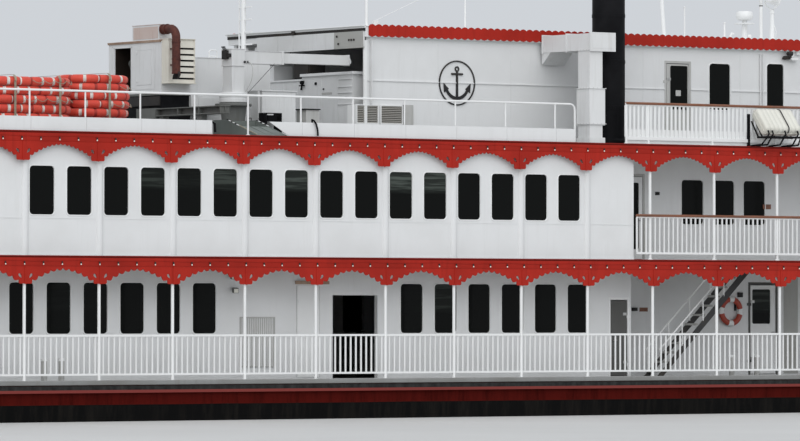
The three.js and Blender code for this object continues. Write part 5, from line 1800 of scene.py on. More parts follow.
class STEAMER_OT_ramp(SteamerOperator):
    """Side ramp: two cheek plates with striped edges, the floor between them and its rope"""
    bl_idname = "steamer.ramp"
    bl_label = "Side ramp"

    def build(self, sizes):
        inner, crest, knee, foot, high = -1.52, -1.8, -2.04, -2.425, 0.205
        slope = (high - 0.008) / (crest - foot)

        def lie(y):
            return THIRD + 0.008 + slope * (y - foot)

        plates = Skin()
        cheek = [(foot, THIRD + TOUCH), (foot, THIRD + 0.008), (crest, THIRD + high), (inner, THIRD + high),
                 (inner, THIRD + TOUCH)]
        for x in (-0.755, -0.337):
            plates.slab(cheek, crosswise, x, x + 0.012)
        plates.slab([(foot, THIRD + TOUCH), (foot, THIRD + 0.008), (knee, lie(knee) - 0.006),
                     (knee, THIRD + TOUCH)],
                    crosswise, -0.7428, -0.3372)
        for x in (-0.6, -0.48):
            plates.slab([(foot + 0.02, lie(foot + 0.02) - 0.007), (foot + 0.02, lie(foot + 0.02) + 0.001),
                         (knee, lie(knee) + 0.002), (knee, lie(knee) - 0.007)], crosswise, x, x + 0.012)
        for y in (-1.54, -1.78):
            plates.box((-0.7428, -0.3372), about(y, 0.006), (THIRD + TOUCH, THIRD + 0.19))
        plates.done("ramp_plates", "ship", "deck_grey", "ramp_paint", bevel=0.0012, replaces=("side_ramp",))
        stripes = Skin()
        for x in (-0.757, -0.339):
            for k in range(6):
                a, b = crest - 0.04 * k, crest - 0.04 * (k + 1) + 0.0004
                stripes.slab([(a, lie(a) + 0.0004), (b, lie(b) + 0.0004), (b, lie(b) + 0.0054),
                              (a, lie(a) + 0.0054)],
                             crosswise, x, x + 0.016, finish=k % 2)
        stripes.done("ramp_edge_stripes", "ship", "gear_black", "black_paint", "trim_paint")
        rope = Skin()
        rope.tube([(-0.749, crest - 0.26, lie(crest - 0.26) + 0.006),
                   (-0.749, foot + 0.15, lie(foot + 0.15) + 0.0065),
                   (-0.749, foot + 0.01, lie(foot + 0.01) + 0.0065)], 0.006, 8)
        rope.done("ramp_edge_rope", "ship", "rope", "rope_fibre")
        handle = Skin()
        handle.tube([(-0.331, -1.62, THIRD + high - 0.002), (-0.331, -1.62, THIRD + high + 0.03),
                     (-0.331, -1.69, THIRD + high + 0.03), (-0.331, -1.69, THIRD + high - 0.002)], 0.005, 8)
        handle.done("ramp_handle", "ship", "gear_black", "dark_steel")


class STEAMER_OT_generator(SteamerOperator):
    """Generator house with its louvres, exhaust, plinth and the beam below it"""
    bl_idname = "steamer.generator"
    bl_label = "Generator"

    def build(self, sizes):
        aft, fore, stbd, port = -0.973, -0.56, -0.75, 0.375
        low, high = THIRD + 0.545, THIRD + 1.16
        end = end_wall(aft, -1)
        coat("generator_house", "plant_paint")
        panels = Skin()
        panels.slab(rectangle(stbd, port + 0.003, low + 0.0005, low + 0.022), end, -0.006, 0.0)
        panels.slab(rectangle(-0.62, -0.188, low + 0.05, high - 0.045), end, -0.004, 0.0,
                    [rectangle(-0.555, -0.235, low + 0.1, high - 0.1)])
        panels.slab(rectangle(-0.552, -0.238, low + 0.103, high - 0.103), end, -0.006, 0.0)
        for z in (low + 0.14, high - 0.14):
            panels.box((aft - 0.012, aft), (-0.25, -0.225), (z, z + 0.03))
        for u in (-0.113, 0.25):
            panels.box((aft - 0.006, aft), about(u, 0.006), (low + 0.02, high - 0.05))
        panels.box((aft - 0.006, aft), (-0.119, 0.256), (high - 0.062, high - 0.05))
        panels.box((aft - 0.004, aft), (0.30, 0.372), (low + 0.01, high - 0.03))
        side = side_wall(-1, -stbd)
        panels.slab(rectangle(aft, fore, low + 0.0005, low + 0.022), side, -0.004, 0.0)
        panels.done("generator_panels", "ship", "white_paint", "plant_paint", bevel=0.0015)
        trim = Skin()
        trim.box((aft - 0.016, fore + 0.004), (stbd - 0.006, port + 0.012), (high + 0.0003, high + 0.014))
        trim.box((aft - 0.014, aft), (stbd - 0.004, port + 0.01), (high - 0.014, high + 0.0002))
        trim.done("generator_roof_edge", "ship", "rust_brown", "rust_streaked", bevel=0.003)
        box = Skin()
        box.slab(rectangle(-0.70, -0.175, high + 0.03, high + 0.17), end_wall(-0.985, -1), -0.003, 0.0)
        box.box((-0.99, -0.775), (-0.725, -0.15), (high + 0.19, high + 0.197))
        box.done("exhaust_box_cover", "ship", "raft_cream", "pink_primer", bevel=0.002)
        # A near-black lining round the open bay of the generator room: painted shade of the room's inside.
        liner = Skin()
        liner.box((-0.652, -0.6436), (-0.1075, 0.2445), (low + 0.021, high - 0.061))
        liner.box((-0.965, -0.6525), (-0.1075, -0.1045), (low + 0.021, high - 0.061))
        liner.box((-0.965, -0.6525), (0.2415, 0.2445), (low + 0.021, high - 0.061))
        liner.box((-0.965, -0.6525), (-0.104, 0.241), (high - 0.064, high - 0.061))
        liner.done("generator_room_lining", "ship", "gear_black", "soot")
        inside = Skin()
        inside.box((-0.70, -0.648), (-0.1, 0.03), (low + 0.022, low + 0.26), 1)
        inside.box((-0.78, -0.70), (0.02, 0.2), (low + 0.024, low + 0.2))
        inside.turned(rod(0.05, 0, 0.2), athwart(-0.76, 0.0, low + 0.38), 20)
        inside.tube([(-0.72, 0.2, low + 0.2), (-0.8, 0.16, low + 0.33), (-0.76, 0.02, low + 0.4)], 0.014, 8)
        inside.box((-0.83, -0.80), (-0.055, -0.01), (low + 0.05, low + 0.12), 1)
        inside.done("generator_set", "ship", "gear_black", "gear_grey", "trim_paint")
        self.louvres()
        self.exhaust()
        self.beneath()

    def louvres(self):
        x0, x1, out, low, high = -0.962, -0.582, 0.89, THIRD + 0.665, THIRD + 1.175
        place = side_wall(-1, out)
        case = Skin()
        case.box((x0, x1), (-0.7503, -0.862), (low, high))
        gaps = [THIRD + v for v in (0.703, 0.773, 0.844, 0.915, 0.985, 1.056)]
        case.slab(rectangle(x0, x0 + 0.055, low, high), place, 0.0, 0.028)
        case.slab(rectangle(x1 - 0.012, x1, low, high), place, 0.0, 0.028)
        edges = [low, *gaps, high]
        for below, above in zip(edges, edges[1:]):
            bottom = below + (0.021 if below != low else 0.0)
            case.slab([(0.0, bottom), (0.028, bottom), (0.028, above), (0.012, above)],
                      lambda u, v, w: (w, u - out, v), x0 + 0.055, x1 - 0.012)
        case.box((x0 - 0.006, x1 + 0.008), (-0.7503, -0.9), (low - 0.012, low))
        case.box((x0 - 0.004, x1 + 0.004), (-0.7503, -0.896), (high, high + 0.008))
        case.done("louvre_case", "ship", "raft_cream", "cream_paint", bevel=0.001, replaces=("louvre_unit",))
        dark = Skin()
        dark.box((x0 + 0.056, x1 - 0.013), (-0.8621, -0.866), (low + 0.01, high - 0.01))
        dark.done("louvre_back", "ship", "gear_black", "black_paint")

    def exhaust(self):
        x, y, z, bend = -0.934, -1.01, THIRD + 1.295, 0.11
        path = [(x, along_y, z) for along_y in (-0.7203, -0.74, -0.80, -0.88)]
        path += [(x, y + bend - bend * math.sin(a), z - bend + bend * math.cos(a))
                 for a in (math.pi / 16 * k for k in range(9))]
        path += [(x, y, z - 0.2), (x, y, z - 0.35), (x, y, THIRD + 0.775)]
        pipe = Skin()
        pipe.tube(path, 0.05, 20)
        for where in ((-0.75, -0.735), (-0.83, -0.822)):
            pipe.turned(rod(0.062, where[0], where[1]), athwart(x, 0, z), 20)
        for h in (1.13, 0.93):
            pipe.turned(rod(0.0545, 0, 0.012), upright(x, y, THIRD + h), 20)
        pipe.turned([(0.048, 0.0), (0.054, 0.002), (0.054, 0.014), (0.044, 0.016), (0, 0.016)],
                    upright(x, y, THIRD + 0.76), 20)
        for h in (1.05, 0.86):
            pipe.box(about(x, 0.012), (-0.8965, -0.965), (THIRD + h, THIRD + h + 0.016))
        pipe.done("exhaust_stack", "ship", "rust_brown", "rust_pipe", replaces=("exhaust_pipe",))
        flap = Skin()
        flap.slab(circle((0, 0), 0.052, 20),
                  lambda u, v, w: (x + u, -1.018 + v * 0.55 - w, THIRD + 0.742 - v * 0.7), 0.0, 0.006)
        flap.tube([(x, -1.062, THIRD + 0.785), (x, -1.07, THIRD + 0.74), (x, -1.055, THIRD + 0.70)], 0.012, 8)
        flap.done("exhaust_flap", "ship", "gear_black", "dark_steel")

    def beneath(self):
        """Slab, covers and boxes under the house, and the beam beside it."""
        low = THIRD
        # The plinth is painted black: partly the dark boxes under the house, partly painted shade of the open frame
        # beneath it.
        coat("generator_plinth", "black_paint")
        slab, steel = Skin(), Skin()
        slab.box((-0.99, -0.54), (-0.775, 0.39), (low + 0.518, low + 0.5447))
        slab.done("generator_slab", "ship", "steel_grey", "gear_grey", bevel=0.002)
        steel.slab(rectangle(-0.42, -0.10, low + 0.4, low + 0.5), end_wall(-0.974, -1), -0.006, 0)
        for y0, y1, z0, z1 in ((-0.35, -0.05, 0.395, 0.51), (-0.74, -0.37, 0.395, 0.505)):
            steel.box((-1.0, -0.9735), (y0, y1), (low + z0, low + z1))
        steel.done("plinth_covers", "ship", "steel_grey", "dark_steel", bevel=0.003)
        white = Skin()
        white.box((-0.58, -0.48), (-0.80, -0.752), (low + 0.385, low + 0.53))
        white.box((-0.466, -0.123), (-0.775, -0.505), (low + 0.3, low + 0.506))
        white.box((-0.46, -0.13), (-0.7785, -0.774), (low + 0.31, low + 0.496))
        white.done("plinth_white_boxes", "ship", "white_paint", "plant_paint", bevel=0.003)
        beam = Skin()
        for z0, z1 in ((0.342, 0.355), (0.26, 0.273)):
            beam.box((-1.10, -0.96), (-2.18, -0.82), (low + z0, low + z1))
        beam.box((-1.035, -1.025), (-2.179, -0.821), (low + 0.2725, low + 0.3425))
        for y in (-2.16, -1.72, -1.28, -0.84):
            beam.box((-1.098, -0.962), about(y, 0.004), (low + 0.2725, low + 0.3425))
        for y in (-1.7, -0.9):
            beam.box((-1.07, -0.99), about(y, 0.04), (low + 0.0004, low + 0.2605))
        beam.box((-1.10, -1.0005), (-0.819, -0.41), (low + 0.24, low + 0.36))
        beam.done("deck_beam", "ship", "steel_grey", "gear_grey", bevel=0.002)


# After face of the cooling plant, less the gap of what is fixed to it.
PLANT_FACE = 1.4797


class STEAMER_OT_plant(SteamerOperator):
    """Engine casing, cooling plant and the boxes round them"""
    bl_idname = "steamer.plant"
    bl_label = "Deck plant"

    def build(self, sizes):
        coat("engine", "dark_steel")
        coat("engine_casing", "plant_paint")
        coat("cooling_plant", "plant_paint")
        casing = Skin()
        for x in (-0.29, 0.06, 0.41):
            for side in (-1, 1):
                casing.slab(rectangle(*about(x, 0.004), THIRD + 0.03, THIRD + 0.96), side_wall(side, 0.5),
                            -0.003, 0)
        casing.box((-0.556, 0.768), (-0.508, 0.508), (THIRD + 0.985, THIRD + 0.994))
        casing.done("casing_top_and_seams", "ship", "white_paint", "plant_paint", bevel=0.002)
        lamp_frame = Skin()
        lamp_frame.tube([(-0.095, -0.46, THIRD + 0.994), (-0.095, -0.46, 4.945), (-0.075, -0.46, 4.962),
                         (0.0, -0.46, 4.962), (0.018, -0.46, 4.945), (0.018, -0.46, THIRD + 0.994)], 0.009, 8)
        lamp_frame.tube([(-0.095, -0.46, 4.89), (0.018, -0.46, 4.89)], 0.007, 8)
        lamp_frame.done("casing_lamp_frame", "ship", "white_paint", "trim_paint")
        top = Skin()
        top.box((1.455, 2.41), (-1.235, -0.13), (4.6905, 4.724))
        top.box((1.585, 2.41), (-0.155, 0.915), (4.6503, 4.672))
        for z in (4.635, 4.545, 4.473, 4.413, 4.335):
            top.box((1.466, PLANT_FACE), (-1.185, -0.9), (z - 0.004, z + 0.006))
        for y in (-0.55, -0.897):
            top.box((1.476, PLANT_FACE), about(y, 0.003), (THIRD + 0.03, 4.69))
        for y in (0.12, 0.42, 0.66):
            top.box((1.596, 1.5997), about(y, 0.003), (THIRD + 0.03, 4.65))
        for x in (1.78, 2.1):
            top.box(about(x, 0.003), (-1.2035, -1.2), (THIRD + 0.03, 4.69))
        top.box((1.62, 1.9), (0.66, 0.9), (4.6723, 4.86))
        top.done("plant_tops_and_seams", "ship", "white_paint", "white_paint", bevel=0.002)
        dark = Skin()
        dark.box((1.61, 1.84), (-0.118, 0.216), (4.6723, 4.862))
        dark.box((1.60, 1.611), (-0.1, 0.2), (4.69, 4.845))
        dark.done("plant_grey_box", "ship", "steel_grey", "dark_steel", bevel=0.003)
        fittings = Skin()
        fittings.tube([(1.47, -0.19, 4.64), (1.46, -0.17, 4.60), (1.455, -0.16, 4.53)], 0.012, 8)
        fittings.tube([(1.46, -0.22, 4.585), (1.455, -0.12, 4.585)], 0.008, 8)
        fittings.turned([(0, -0.02), (0.025, -0.015), (0.025, 0.015), (0, 0.02)], athwart(1.46, -0.17, 4.62),
                        12)
        fittings.turned([(0, -0.02), (0.018, -0.015), (0.018, 0.0), (0, 0.0)], along(PLANT_FACE, -0.44, 4.6),
                        12)
        fittings.turned([(0, -0.014), (0.01, -0.012), (0.01, 0.0), (0, 0.0)], along(PLANT_FACE, -0.6, 4.53),
                        12)
        fittings.box((0.128, 0.145), (-1.33, -1.18), (THIRD + TOUCH, 4.197))
        fittings.box((0.34, 0.357), (-1.33, -1.18), (THIRD + TOUCH, 4.197))
        fittings.box((0.146, 0.339), (-1.33, -1.18), (4.10, 4.112))
        fittings.box((0.17, 0.3), (-1.31, -1.2), (4.1125, 4.17))
        fittings.box((0.146, 0.339), (-1.33, -1.318), (4.185, 4.197))
        fittings.box((0.77, 1.0), (-1.215, -0.99), (4.2503, 4.262))
        fittings.tube([(0.02, -2.44, THIRD + TOUCH), (0.02, -2.44, THIRD + 0.1),
                       (0.015, -2.443, THIRD + 0.16), (0.0, -2.456, THIRD + 0.19),
                       (-0.015, -2.475, THIRD + 0.198), (0.0, -2.497, THIRD + 0.188),
                       (0.025, -2.505, THIRD + 0.15), (0.045, -2.506, THIRD + 0.08),
                       (0.05, -2.506, THIRD + 0.012)], 0.011, 10)
        fittings.tube([(-1.36, -2.35, THIRD + TOUCH), (-1.36, -2.35, THIRD + 0.13),
                       (-1.345, -2.37, THIRD + 0.15), (-1.33, -2.4, THIRD + 0.13),
                       (-1.33, -2.41, THIRD + 0.03)], 0.014, 10)
        fittings.done("deck_black_fittings", "ship", "gear_black", "black_paint")
        boxes = Skin()
        boxes.box((0.20, 0.68), (-1.15, -0.85), (THIRD + TOUCH, 4.458))
        boxes.box((0.185, 0.695), (-1.165, -0.835), (4.4583, 4.474))
        boxes.box((0.24, 0.43), (-1.1545, -1.1503), (THIRD + 0.06, 4.42))
        boxes.box((0.45, 0.64), (-1.1545, -1.1503), (THIRD + 0.06, 4.42))
        boxes.box((0.165, 0.1845), (-1.12, -1.09), (THIRD + TOUCH, 4.46))
        boxes.done("deck_lockers", "ship", "white_paint", "plant_paint", bevel=0.003)
        grey = Skin()
        grey.box((0.80, 0.99), (-1.2, -1.0), (THIRD + TOUCH, 4.25))
        grey.box((1.4755, PLANT_FACE), (-0.77, -0.56), (4.462, 4.488))
        grey.done("deck_grey_box", "ship", "deck_grey", "pale_grey", bevel=0.003)


class STEAMER_OT_screen(SteamerOperator):
    """What is fixed to the pavilion: header panels, louvres, skirting, downpipes and the anchor roundel"""
    bl_idname = "steamer.screen"
    bl_label = "Pavilion fittings"

    def build(self, sizes):
        header, beige = Skin(), Skin()
        low, high = 5.03, 5.0895
        header.box((1.548, 1.568), (-0.757, 0.966), (low, high))
        for a, b in ((0.488, 0.962), (0.147, 0.478), (-0.752, 0.137)):
            header.box((1.5445, 1.5482), (a, b), (low + 0.004, high - 0.004))
        header.box((1.545, 1.565), (1.12, 1.237), (4.95, high))
        header.done("pavilion_header", "ship", "white_paint", "plant_paint", bevel=0.0015)
        beige.box((1.545, 1.57), (-1.335, -0.763), (low - 0.02, high))
        for y, z, r in ((-0.85, 5.07, 0.012), (-0.86, 5.03, 0.01), (-1.02, 5.045, 0.012), (-1.1, 5.05, 0.015),
                        (-1.22, 5.05, 0.012)):
            beige.turned([(0, -0.012), (r, -0.01), (r, 0), (0, 0)], along(1.5447, y, z), 10, 1)
        beige.done("pavilion_pipe_panel", "ship", "raft_cream", "cream_paint", "dark_steel", bevel=0.0015)
        posts = Skin()
        for s in (-1, 1):
            posts.box((1.49, 1.5345), (s * 1.395, s * 1.425), (THIRD + TOUCH, 5.0895))
        posts.done("pavilion_corner_posts", "ship", "white_paint", "trim_paint", bevel=0.002)
        stay = Skin()
        stay.tube([(1.54, 0.05, 5.085), (1.54, 0.26, 4.95)], 0.004, 6)
        stay.box((1.452, 1.47), (-0.006, 0.05), (5.2, 5.25))
        stay.done("pavilion_stay", "ship", "gear_black", "dark_steel")
        self.louvre_units(sizes)
        self.roundel()
        self.wall_fittings()

    def louvre_units(self, sizes):
        frames, backs, paths = Skin(), Skin(), []
        low, high = 4.09, 4.32
        for x0, x1 in ((1.375, 1.70), (1.73, 2.06)):
            if x0 < 1.5:
                frames.box((x0, 1.4795), (-1.4005, -1.236), (THIRD + TOUCH, high))
            frames.slab(rectangle(x0, x1, low, high), lambda u, v, w: (u, -1.4005 - w, v), 0.0, 0.026,
                        [rectangle(x0 + 0.012, x1 - 0.012, low + 0.012, high - 0.012)])
            backs.box((x0 + 0.01, x1 - 0.01), (-1.4004, -1.406), (low + 0.01, high - 0.01))
            paths.append([((x0 + x1) / 2, -1.417, low + 0.02), ((x0 + x1) / 2, -1.417, high - 0.02)])
        frames.done("screen_louvre_frames", "ship", "white_paint", "trim_paint", bevel=0.001)
        backs.done("screen_louvre_backs", "ship", "steel_grey", "dark_steel")
        for k, path in enumerate(paths):
            slats = grow(f"screen_louvre_slats_{k}", slats_tree, [path], "louvre_beige",
                         pitch=sizes.slat_pitch, length=0.305, depth=0.02, thickness=0.0022, tilt=0.75,
                         heading=0.0)
            settle(slats, "ship", "raft_cream", ["louvre_beige"])
        # A black strip between the louvre units and the grey cover: painted shade of the gap between them.
        gap = Skin()
        gap.box((2.075, 2.105), (-1.4005, -1.409), (4.09, 4.33))
        gap.done("screen_gap", "ship", "gear_black", "black_paint")
        cover = Skin()
        cover.box((2.107, 2.225), (-1.4005, -1.412), (4.09, 4.33))
        cover.done("screen_grey_cover", "ship", "deck_grey", "pale_grey", bevel=0.002)
        panels = Skin()
        for side in (-1, 1):
            for x in (2.6, 3.7, 4.7, 5.75, 7.3, 8.3):
                panels.slab(rectangle(x - 0.0012, x + 0.0012, 4.2, 5.09), side_wall(side, TOP_HALF), -0.0022,
                            0.0)
        for x, wide in ((7.62, 0.022), (7.66, 0.016)):
            panels.tube([(x, -1.418, THIRD + 0.02), (x, -1.418, 5.085)], wide / 2, 8)
        panels.box((1.585, 1.605), (-1.44, -1.402), (4.33, 5.0895))
        panels.done("screen_seams_and_pipes", "ship", "white_paint", "plant_paint")

    def roundel(self):
        cx, cz, larger, deeper = 2.88, 4.61, 1.17, 4.3
        mark = Skin()

        def place(u, v, w):
            return cx + (u - cx) * larger, w * deeper - TOP_HALF, cz + (v - cz) * larger

        mark.slab(circle((cx, cz), 0.232, 72), place, -0.003, 0.0, [circle((cx, cz), 0.219, 72)])
        top = cz + 0.145
        mark.slab(circle((cx, top), 0.028, 24), place, -0.003, 0.0, [circle((cx, top), 0.015, 24)])
        mark.slab([(cx - 0.0125, cz - 0.165), (cx + 0.0125, cz - 0.165), (cx + 0.0105, top - 0.027),
                   (cx - 0.0105, top - 0.027)],
                  place, -0.0032, 0.0)
        mark.slab(rounded(cx - 0.075, cx + 0.075, cz + 0.082, cz + 0.102, 0.009, 4), place, -0.0036, 0.0)
        arms = circle((cx, cz - 0.02), 0.155, 28, math.pi * 1.12, math.pi * 0.76)
        inner = circle((cx, cz - 0.005), 0.137, 28, math.pi * 1.88, -math.pi * 0.76)
        mark.slab(arms + inner, place, -0.0034, 0.0)
        for s in (-1, 1):
            tip = [(cx + s * 0.172, cz - 0.005), (cx + s * 0.108, cz - 0.062), (cx + s * 0.165, cz - 0.10)]
            mark.slab(tip if s > 0 else list(reversed(tip)), place, -0.0035, 0.0)
        mark.done("anchor_roundel", "ship", "gear_black", "dark_steel", smooth=0)

    def wall_fittings(self):
        plate, dark = Skin(), Skin()
        plate.slab(rounded(6.27, 6.35, 4.53, 4.6, 0.006, 3), side_wall(-1, TOP_HALF - 0.004), -0.0045,
                   -0.0003)
        plate.done("house_door_blank_plate", "house_door_starboard", "white_paint", "pale_grey")
        dark.box((8.0, 8.1), (-1.402, -1.45), (5.05, 5.07))
        dark.turned([(0, 0), (0.022, 0), (0.028, 0.07), (0.02, 0.075), (0, 0.075)], along(8.02, -1.47, 5.1),
                    14)
        dark.tube([(8.06, -1.402, 5.1), (8.06, -1.47, 5.12)], 0.008, 8)
        dark.box((8.2, 8.26), (-1.402, -1.43), (5.09, 5.13), 1)
        dark.done("wheelhouse_camera", "ship", "gear_black", "dark_steel", "trim_paint", bevel=0.001)


class STEAMER_OT_life_floats(SteamerOperator):
    """Stacked cloth-covered life floats with their bands and grab lines; the pale and dark patches at each float's
    pinches are painted highlights and painted shade
    """
    bl_idname = "steamer.life_floats"
    bl_label = "Life floats"

    STACKS = (
        ("aft", -3.66, -1.90, 1.275, 0.70, 6, 0.1035, (0.010, -0.012, 0.004, -0.006, 0.012, -0.01)),
        ("fore", -2.55, -1.70, 0.90, 0.70, 7, 0.0968, (-0.006, 0.012, -0.01, 0.006, 0.012, -0.004, -0.012)),
    )

    def build(self, sizes):
        for name, cx, cy, length, width, layers, pitch, shifts in self.STACKS:
            for level in range(layers):
                self.layer(name, cx + shifts[level], cy - shifts[-1 - level] * 0.5, length - 0.03,
                           width - 0.03, level, pitch)
        lashing = Skin()
        for cx, cy, width, high in ((-3.95, -1.9, 0.70, 0.63), (-3.35, -1.9, 0.70, 0.63),
                                    (-2.55, -1.7, 0.70, 0.685)):
            w, r = width / 2 + 0.012, 0.06
            loop = [(-w, 0.004), (-w, high - r)]
            loop += circle((-w + r, high - r), r + 0.012, 5, math.pi, -math.pi / 2)
            loop += circle((w - r, high - r), r + 0.012, 5, math.pi / 2, -math.pi / 2)
            loop += [(w, high - r), (w, 0.004)]
            path = [(cy + a, THIRD + b) for a, b in loop]
            outer = [[(cx - 0.014, a, b), (cx + 0.014, a, b)] for a, b in path]
            inner = [[(cx + 0.014, cy + (a - cy) * 0.992, b - 0.002),
                      (cx - 0.014, cy + (a - cy) * 0.992, b - 0.002)]
                     for a, b in path]
            lashing.rings([o + i for o, i in zip(outer, inner)])
        lashing.done("float_lashings", "ship", "rope", "webbing")

    def layer(self, name, cx, cy, length, width, level, pitch):
        tube, high = 0.072, pitch / 2 * 1.02
        half, radius = (length - width) / 2, width / 2 - tube
        straight, bend = 2 * half, math.pi * radius
        around = 2 * (straight + bend)
        segments = round(around / 0.145)
        per = 10

        def spot(s):
            s %= around
            if s < straight:
                return (cx - half + s, cy - radius), (0.0, -1.0)
            if s < straight + bend:
                a = -math.pi / 2 + (s - straight) / radius
                nx, ny = math.cos(a), math.sin(a)
                return (cx + half + radius * nx, cy + radius * ny), (nx, ny)
            if s < 2 * straight + bend:
                return (cx + half - (s - straight - bend), cy + radius), (0.0, 1.0)
            a = math.pi / 2 + (s - 2 * straight - bend) / radius
            nx, ny = math.cos(a), math.sin(a)
            return (cx - half + radius * nx, cy + radius * ny), (nx, ny)

        base = THIRD + 0.0006 + pitch * (level + 0.5)
        float_skin = Skin()
        offset = 0.05 * (level % 3)
        loops = []
        for i in range(segments * per):
            share = (i % per) / per
            pull = 0.20 * max(0.0, 1 - min(share, 1 - share) / 0.22) ** 1.6
            ripple = 0.02 * math.sin(37.0 * i + level * 5.1)
            (px, py), (nx, ny) = spot(i / (segments * per) * around + offset)
            wide, tall = tube * (1 - pull + ripple), high * (1 - pull * 0.75)
            loops.append([(px + nx * wide * swell(math.cos(a), 0.8), py + ny * wide * swell(math.cos(a), 0.8),
                           base + tall * swell(math.sin(a), 0.72))
                          for a in (2 * math.pi * k / 14 for k in range(14))])
        float_skin.rings(loops, closed=True)
        # At each pinched segment end the faces take a pale painted highlight, or on every third a dark red painted
        # shade of the crease.
        for n in range(len(float_skin.faces)):
            i = n // 14
            part, segment = i % per, i // per
            if part in (0, per - 1):
                float_skin.finish[n] = 1 if (segment + (part == per - 1) + level) % 3 else 2
        piece = float_skin.done(f"float_{name}_{level}", "ship", "float_orange", "float_cloth", "white_tape",
                                "float_dark", smooth=70, replaces=("life_floats_" + name,))
        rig.padded(piece, fill=0.95)
        if level % 2 == 0:
            return
        line, steps = [], 12
        for segment in range(1, segments // 2 + 2):
            for k in range(steps):
                share = k / steps
                (px, py), (nx, ny) = spot((segment + share) / segments * around + offset)
                droop = 0.034 * math.sin(math.pi * share)
                out = tube * 0.94 + 0.011 + 0.02 * math.sin(math.pi * share)
                line.append((px + nx * out, py + ny * out, base + 0.012 - droop))
        rope = Skin()
        rope.tube(line, 0.0035, 6)
        cord = rope.done(f"float_line_{name}_{level}", "ship", "rope", "rope_fibre", smooth=60)
        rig.cord(cord, exit=line[0], length=path_length(line), diameter=0.007, far_end="object",
                stiffness="limp", lay="hanging", path=line)


class STEAMER_OT_masts(SteamerOperator):
    """Ladder mast, roof mast, radar post, poles and stubs on the roof"""
    bl_idname = "steamer.masts"
    bl_label = "Masts and roof gear"

    def build(self, sizes):
        ladder = Skin()
        x, low, high = 0.7, THIRD + 0.9945, 6.98
        ladder.turned([(0, 0), (0.05, 0), (0.05, 0.012), (0.034, 0.018), (0.031, 0.05), (0.026, high - low),
                       (0, high - low)],
                      upright(x, -0.028, low), 20)
        ladder.tube([(x, 0.063, low), (x, 0.063, high - 0.03)], 0.0105, 8)
        ladder.done("ladder_mast_pole", "ship", "white_paint", "trim_paint", replaces=("ladder_mast",))
        rung = Skin()
        rung.box((-0.008, 0.008), (-0.175, 0.092), (-0.0085, 0.0085))
        grow_pieces("ladder_mast_rungs", rung, [[(x, -0.028, 5.065), (x, -0.028, 6.87)]], "trim_paint",
                    "ship", "white_paint", 0.15, follow=False, bevel=0.001)
        roof = ROOF + 0.0122
        gear = Skin()
        ahead = (-math.sin(0.083), 0.0, math.cos(0.083))
        mast = [(7.21 + ahead[0] * s, 0.0, roof - 0.004 + ahead[2] * s) for s in (0.0, 0.02, 0.7, 1.4, 2.19)]
        gear.tube(mast, [0.034, 0.028, 0.026, 0.022, 0.018], 16)
        gear.turned([(0, 0), (0.06, 0), (0.06, 0.01), (0.036, 0.014), (0.036, 0.03), (0, 0.03)],
                    upright(7.21, 0, roof), 16)
        gear.done("roof_mast_pole", "ship", "white_paint", "trim_paint", replaces=("roof_mast",))
        radar = Skin()
        radar.turned([(0, 0), (0.066, 0), (0.066, 0.008), (0.042, 0.012), (0.036, 0.276), (0.13, 0.277),
                      (0.134, 0.283), (0.13, 0.289), (0.03, 0.291), (0.03, 0.327), (0.07, 0.328),
                      (0.088, 0.334), (0.104, 0.35), (0.11, 0.37), (0.106, 0.3725), (0.106, 0.3775),
                      (0.11, 0.379), (0.107, 0.42), (0.098, 0.437), (0.08, 0.443), (0, 0.445)],
                     upright(8.525, 0, roof), 40)
        radar.done("radar_dome_and_post", "ship", "white_paint", "trim_paint", replaces=("radar",))
        small = Skin()
        small.turned([(0, 0), (0.03, 0), (0.03, 0.006), (0.022, 0.01), (0.022, 0.43), (0.0215, 0.432),
                      (0.0215, 0.445), (0.022, 0.447), (0.021, 1.27), (0, 1.272)], upright(7.807, -1.2, roof),
                     16)
        small.turned([(0, 0), (0.018, 0), (0.014, 0.008), (0.011, 0.012), (0.0105, 0.372), (0.015, 0.376),
                      (0.015, 0.388), (0, 0.394)],
                     upright(6.571, -1.2, roof), 10)
        small.turned([(0, 0), (0.02, 0), (0.013, 0.01), (0.013, 0.2), (0.018, 0.203), (0.018, 0.215),
                      (0, 0.217)],
                     upright(7.214, -1.2, roof), 12)
        small.tube([(7.31, -1.2, roof), (7.31, -1.2, roof + 0.05), (7.33, -1.2, roof + 0.075),
                    (7.36, -1.2, roof + 0.07)], 0.016, 10)
        small.turned([(0, 0), (0.03, 0), (0.026, 0.04), (0.03, 0.045), (0.02, 0.07), (0, 0.075)],
                     upright(7.62, -1.2, roof), 16)
        small.turned([(0, 0), (0.022, 0), (0.02, 0.01), (0.018, 2.2), (0, 2.202)], upright(1.53, -1.41, roof),
                     14)
        small.tube([(1.66, -1.41, roof + 0.06), (2.3, -1.41, roof + 0.33), (3.0, -1.41, roof + 0.6)], 0.0032,
                   6)
        small.box((1.63, 1.69), (-1.43, -1.39), (roof - 0.0002, roof + 0.062))
        small.turned([(0, 0), (0.02, 0), (0.012, 0.012), (0.011, 0.6), (0, 0.602)], upright(3.0, -1.41, roof),
                     10)
        for px, py in ((2.5, 0.2), (4.9, -0.3), (6.2, 0.5)):
            small.box(about(px, 0.12), about(py, 0.12), (roof - 0.0002, roof + 0.05))
            small.box(about(px, 0.14), about(py, 0.14), (roof + 0.0502, roof + 0.066))
        small.done("roof_poles_and_hatches", "ship", "white_paint", "trim_paint")
        joint = Skin()
        joint.turned(rod(0.0235, 0, 0.012), upright(7.807, -1.2, roof + 0.4325), 16)
        joint.tube([(7.05, 0, roof + 0.85), (7.05, 0.10, roof + 0.86)], 0.006, 8)
        joint.done("pole_joint", "ship", "gear_black", "dark_steel")


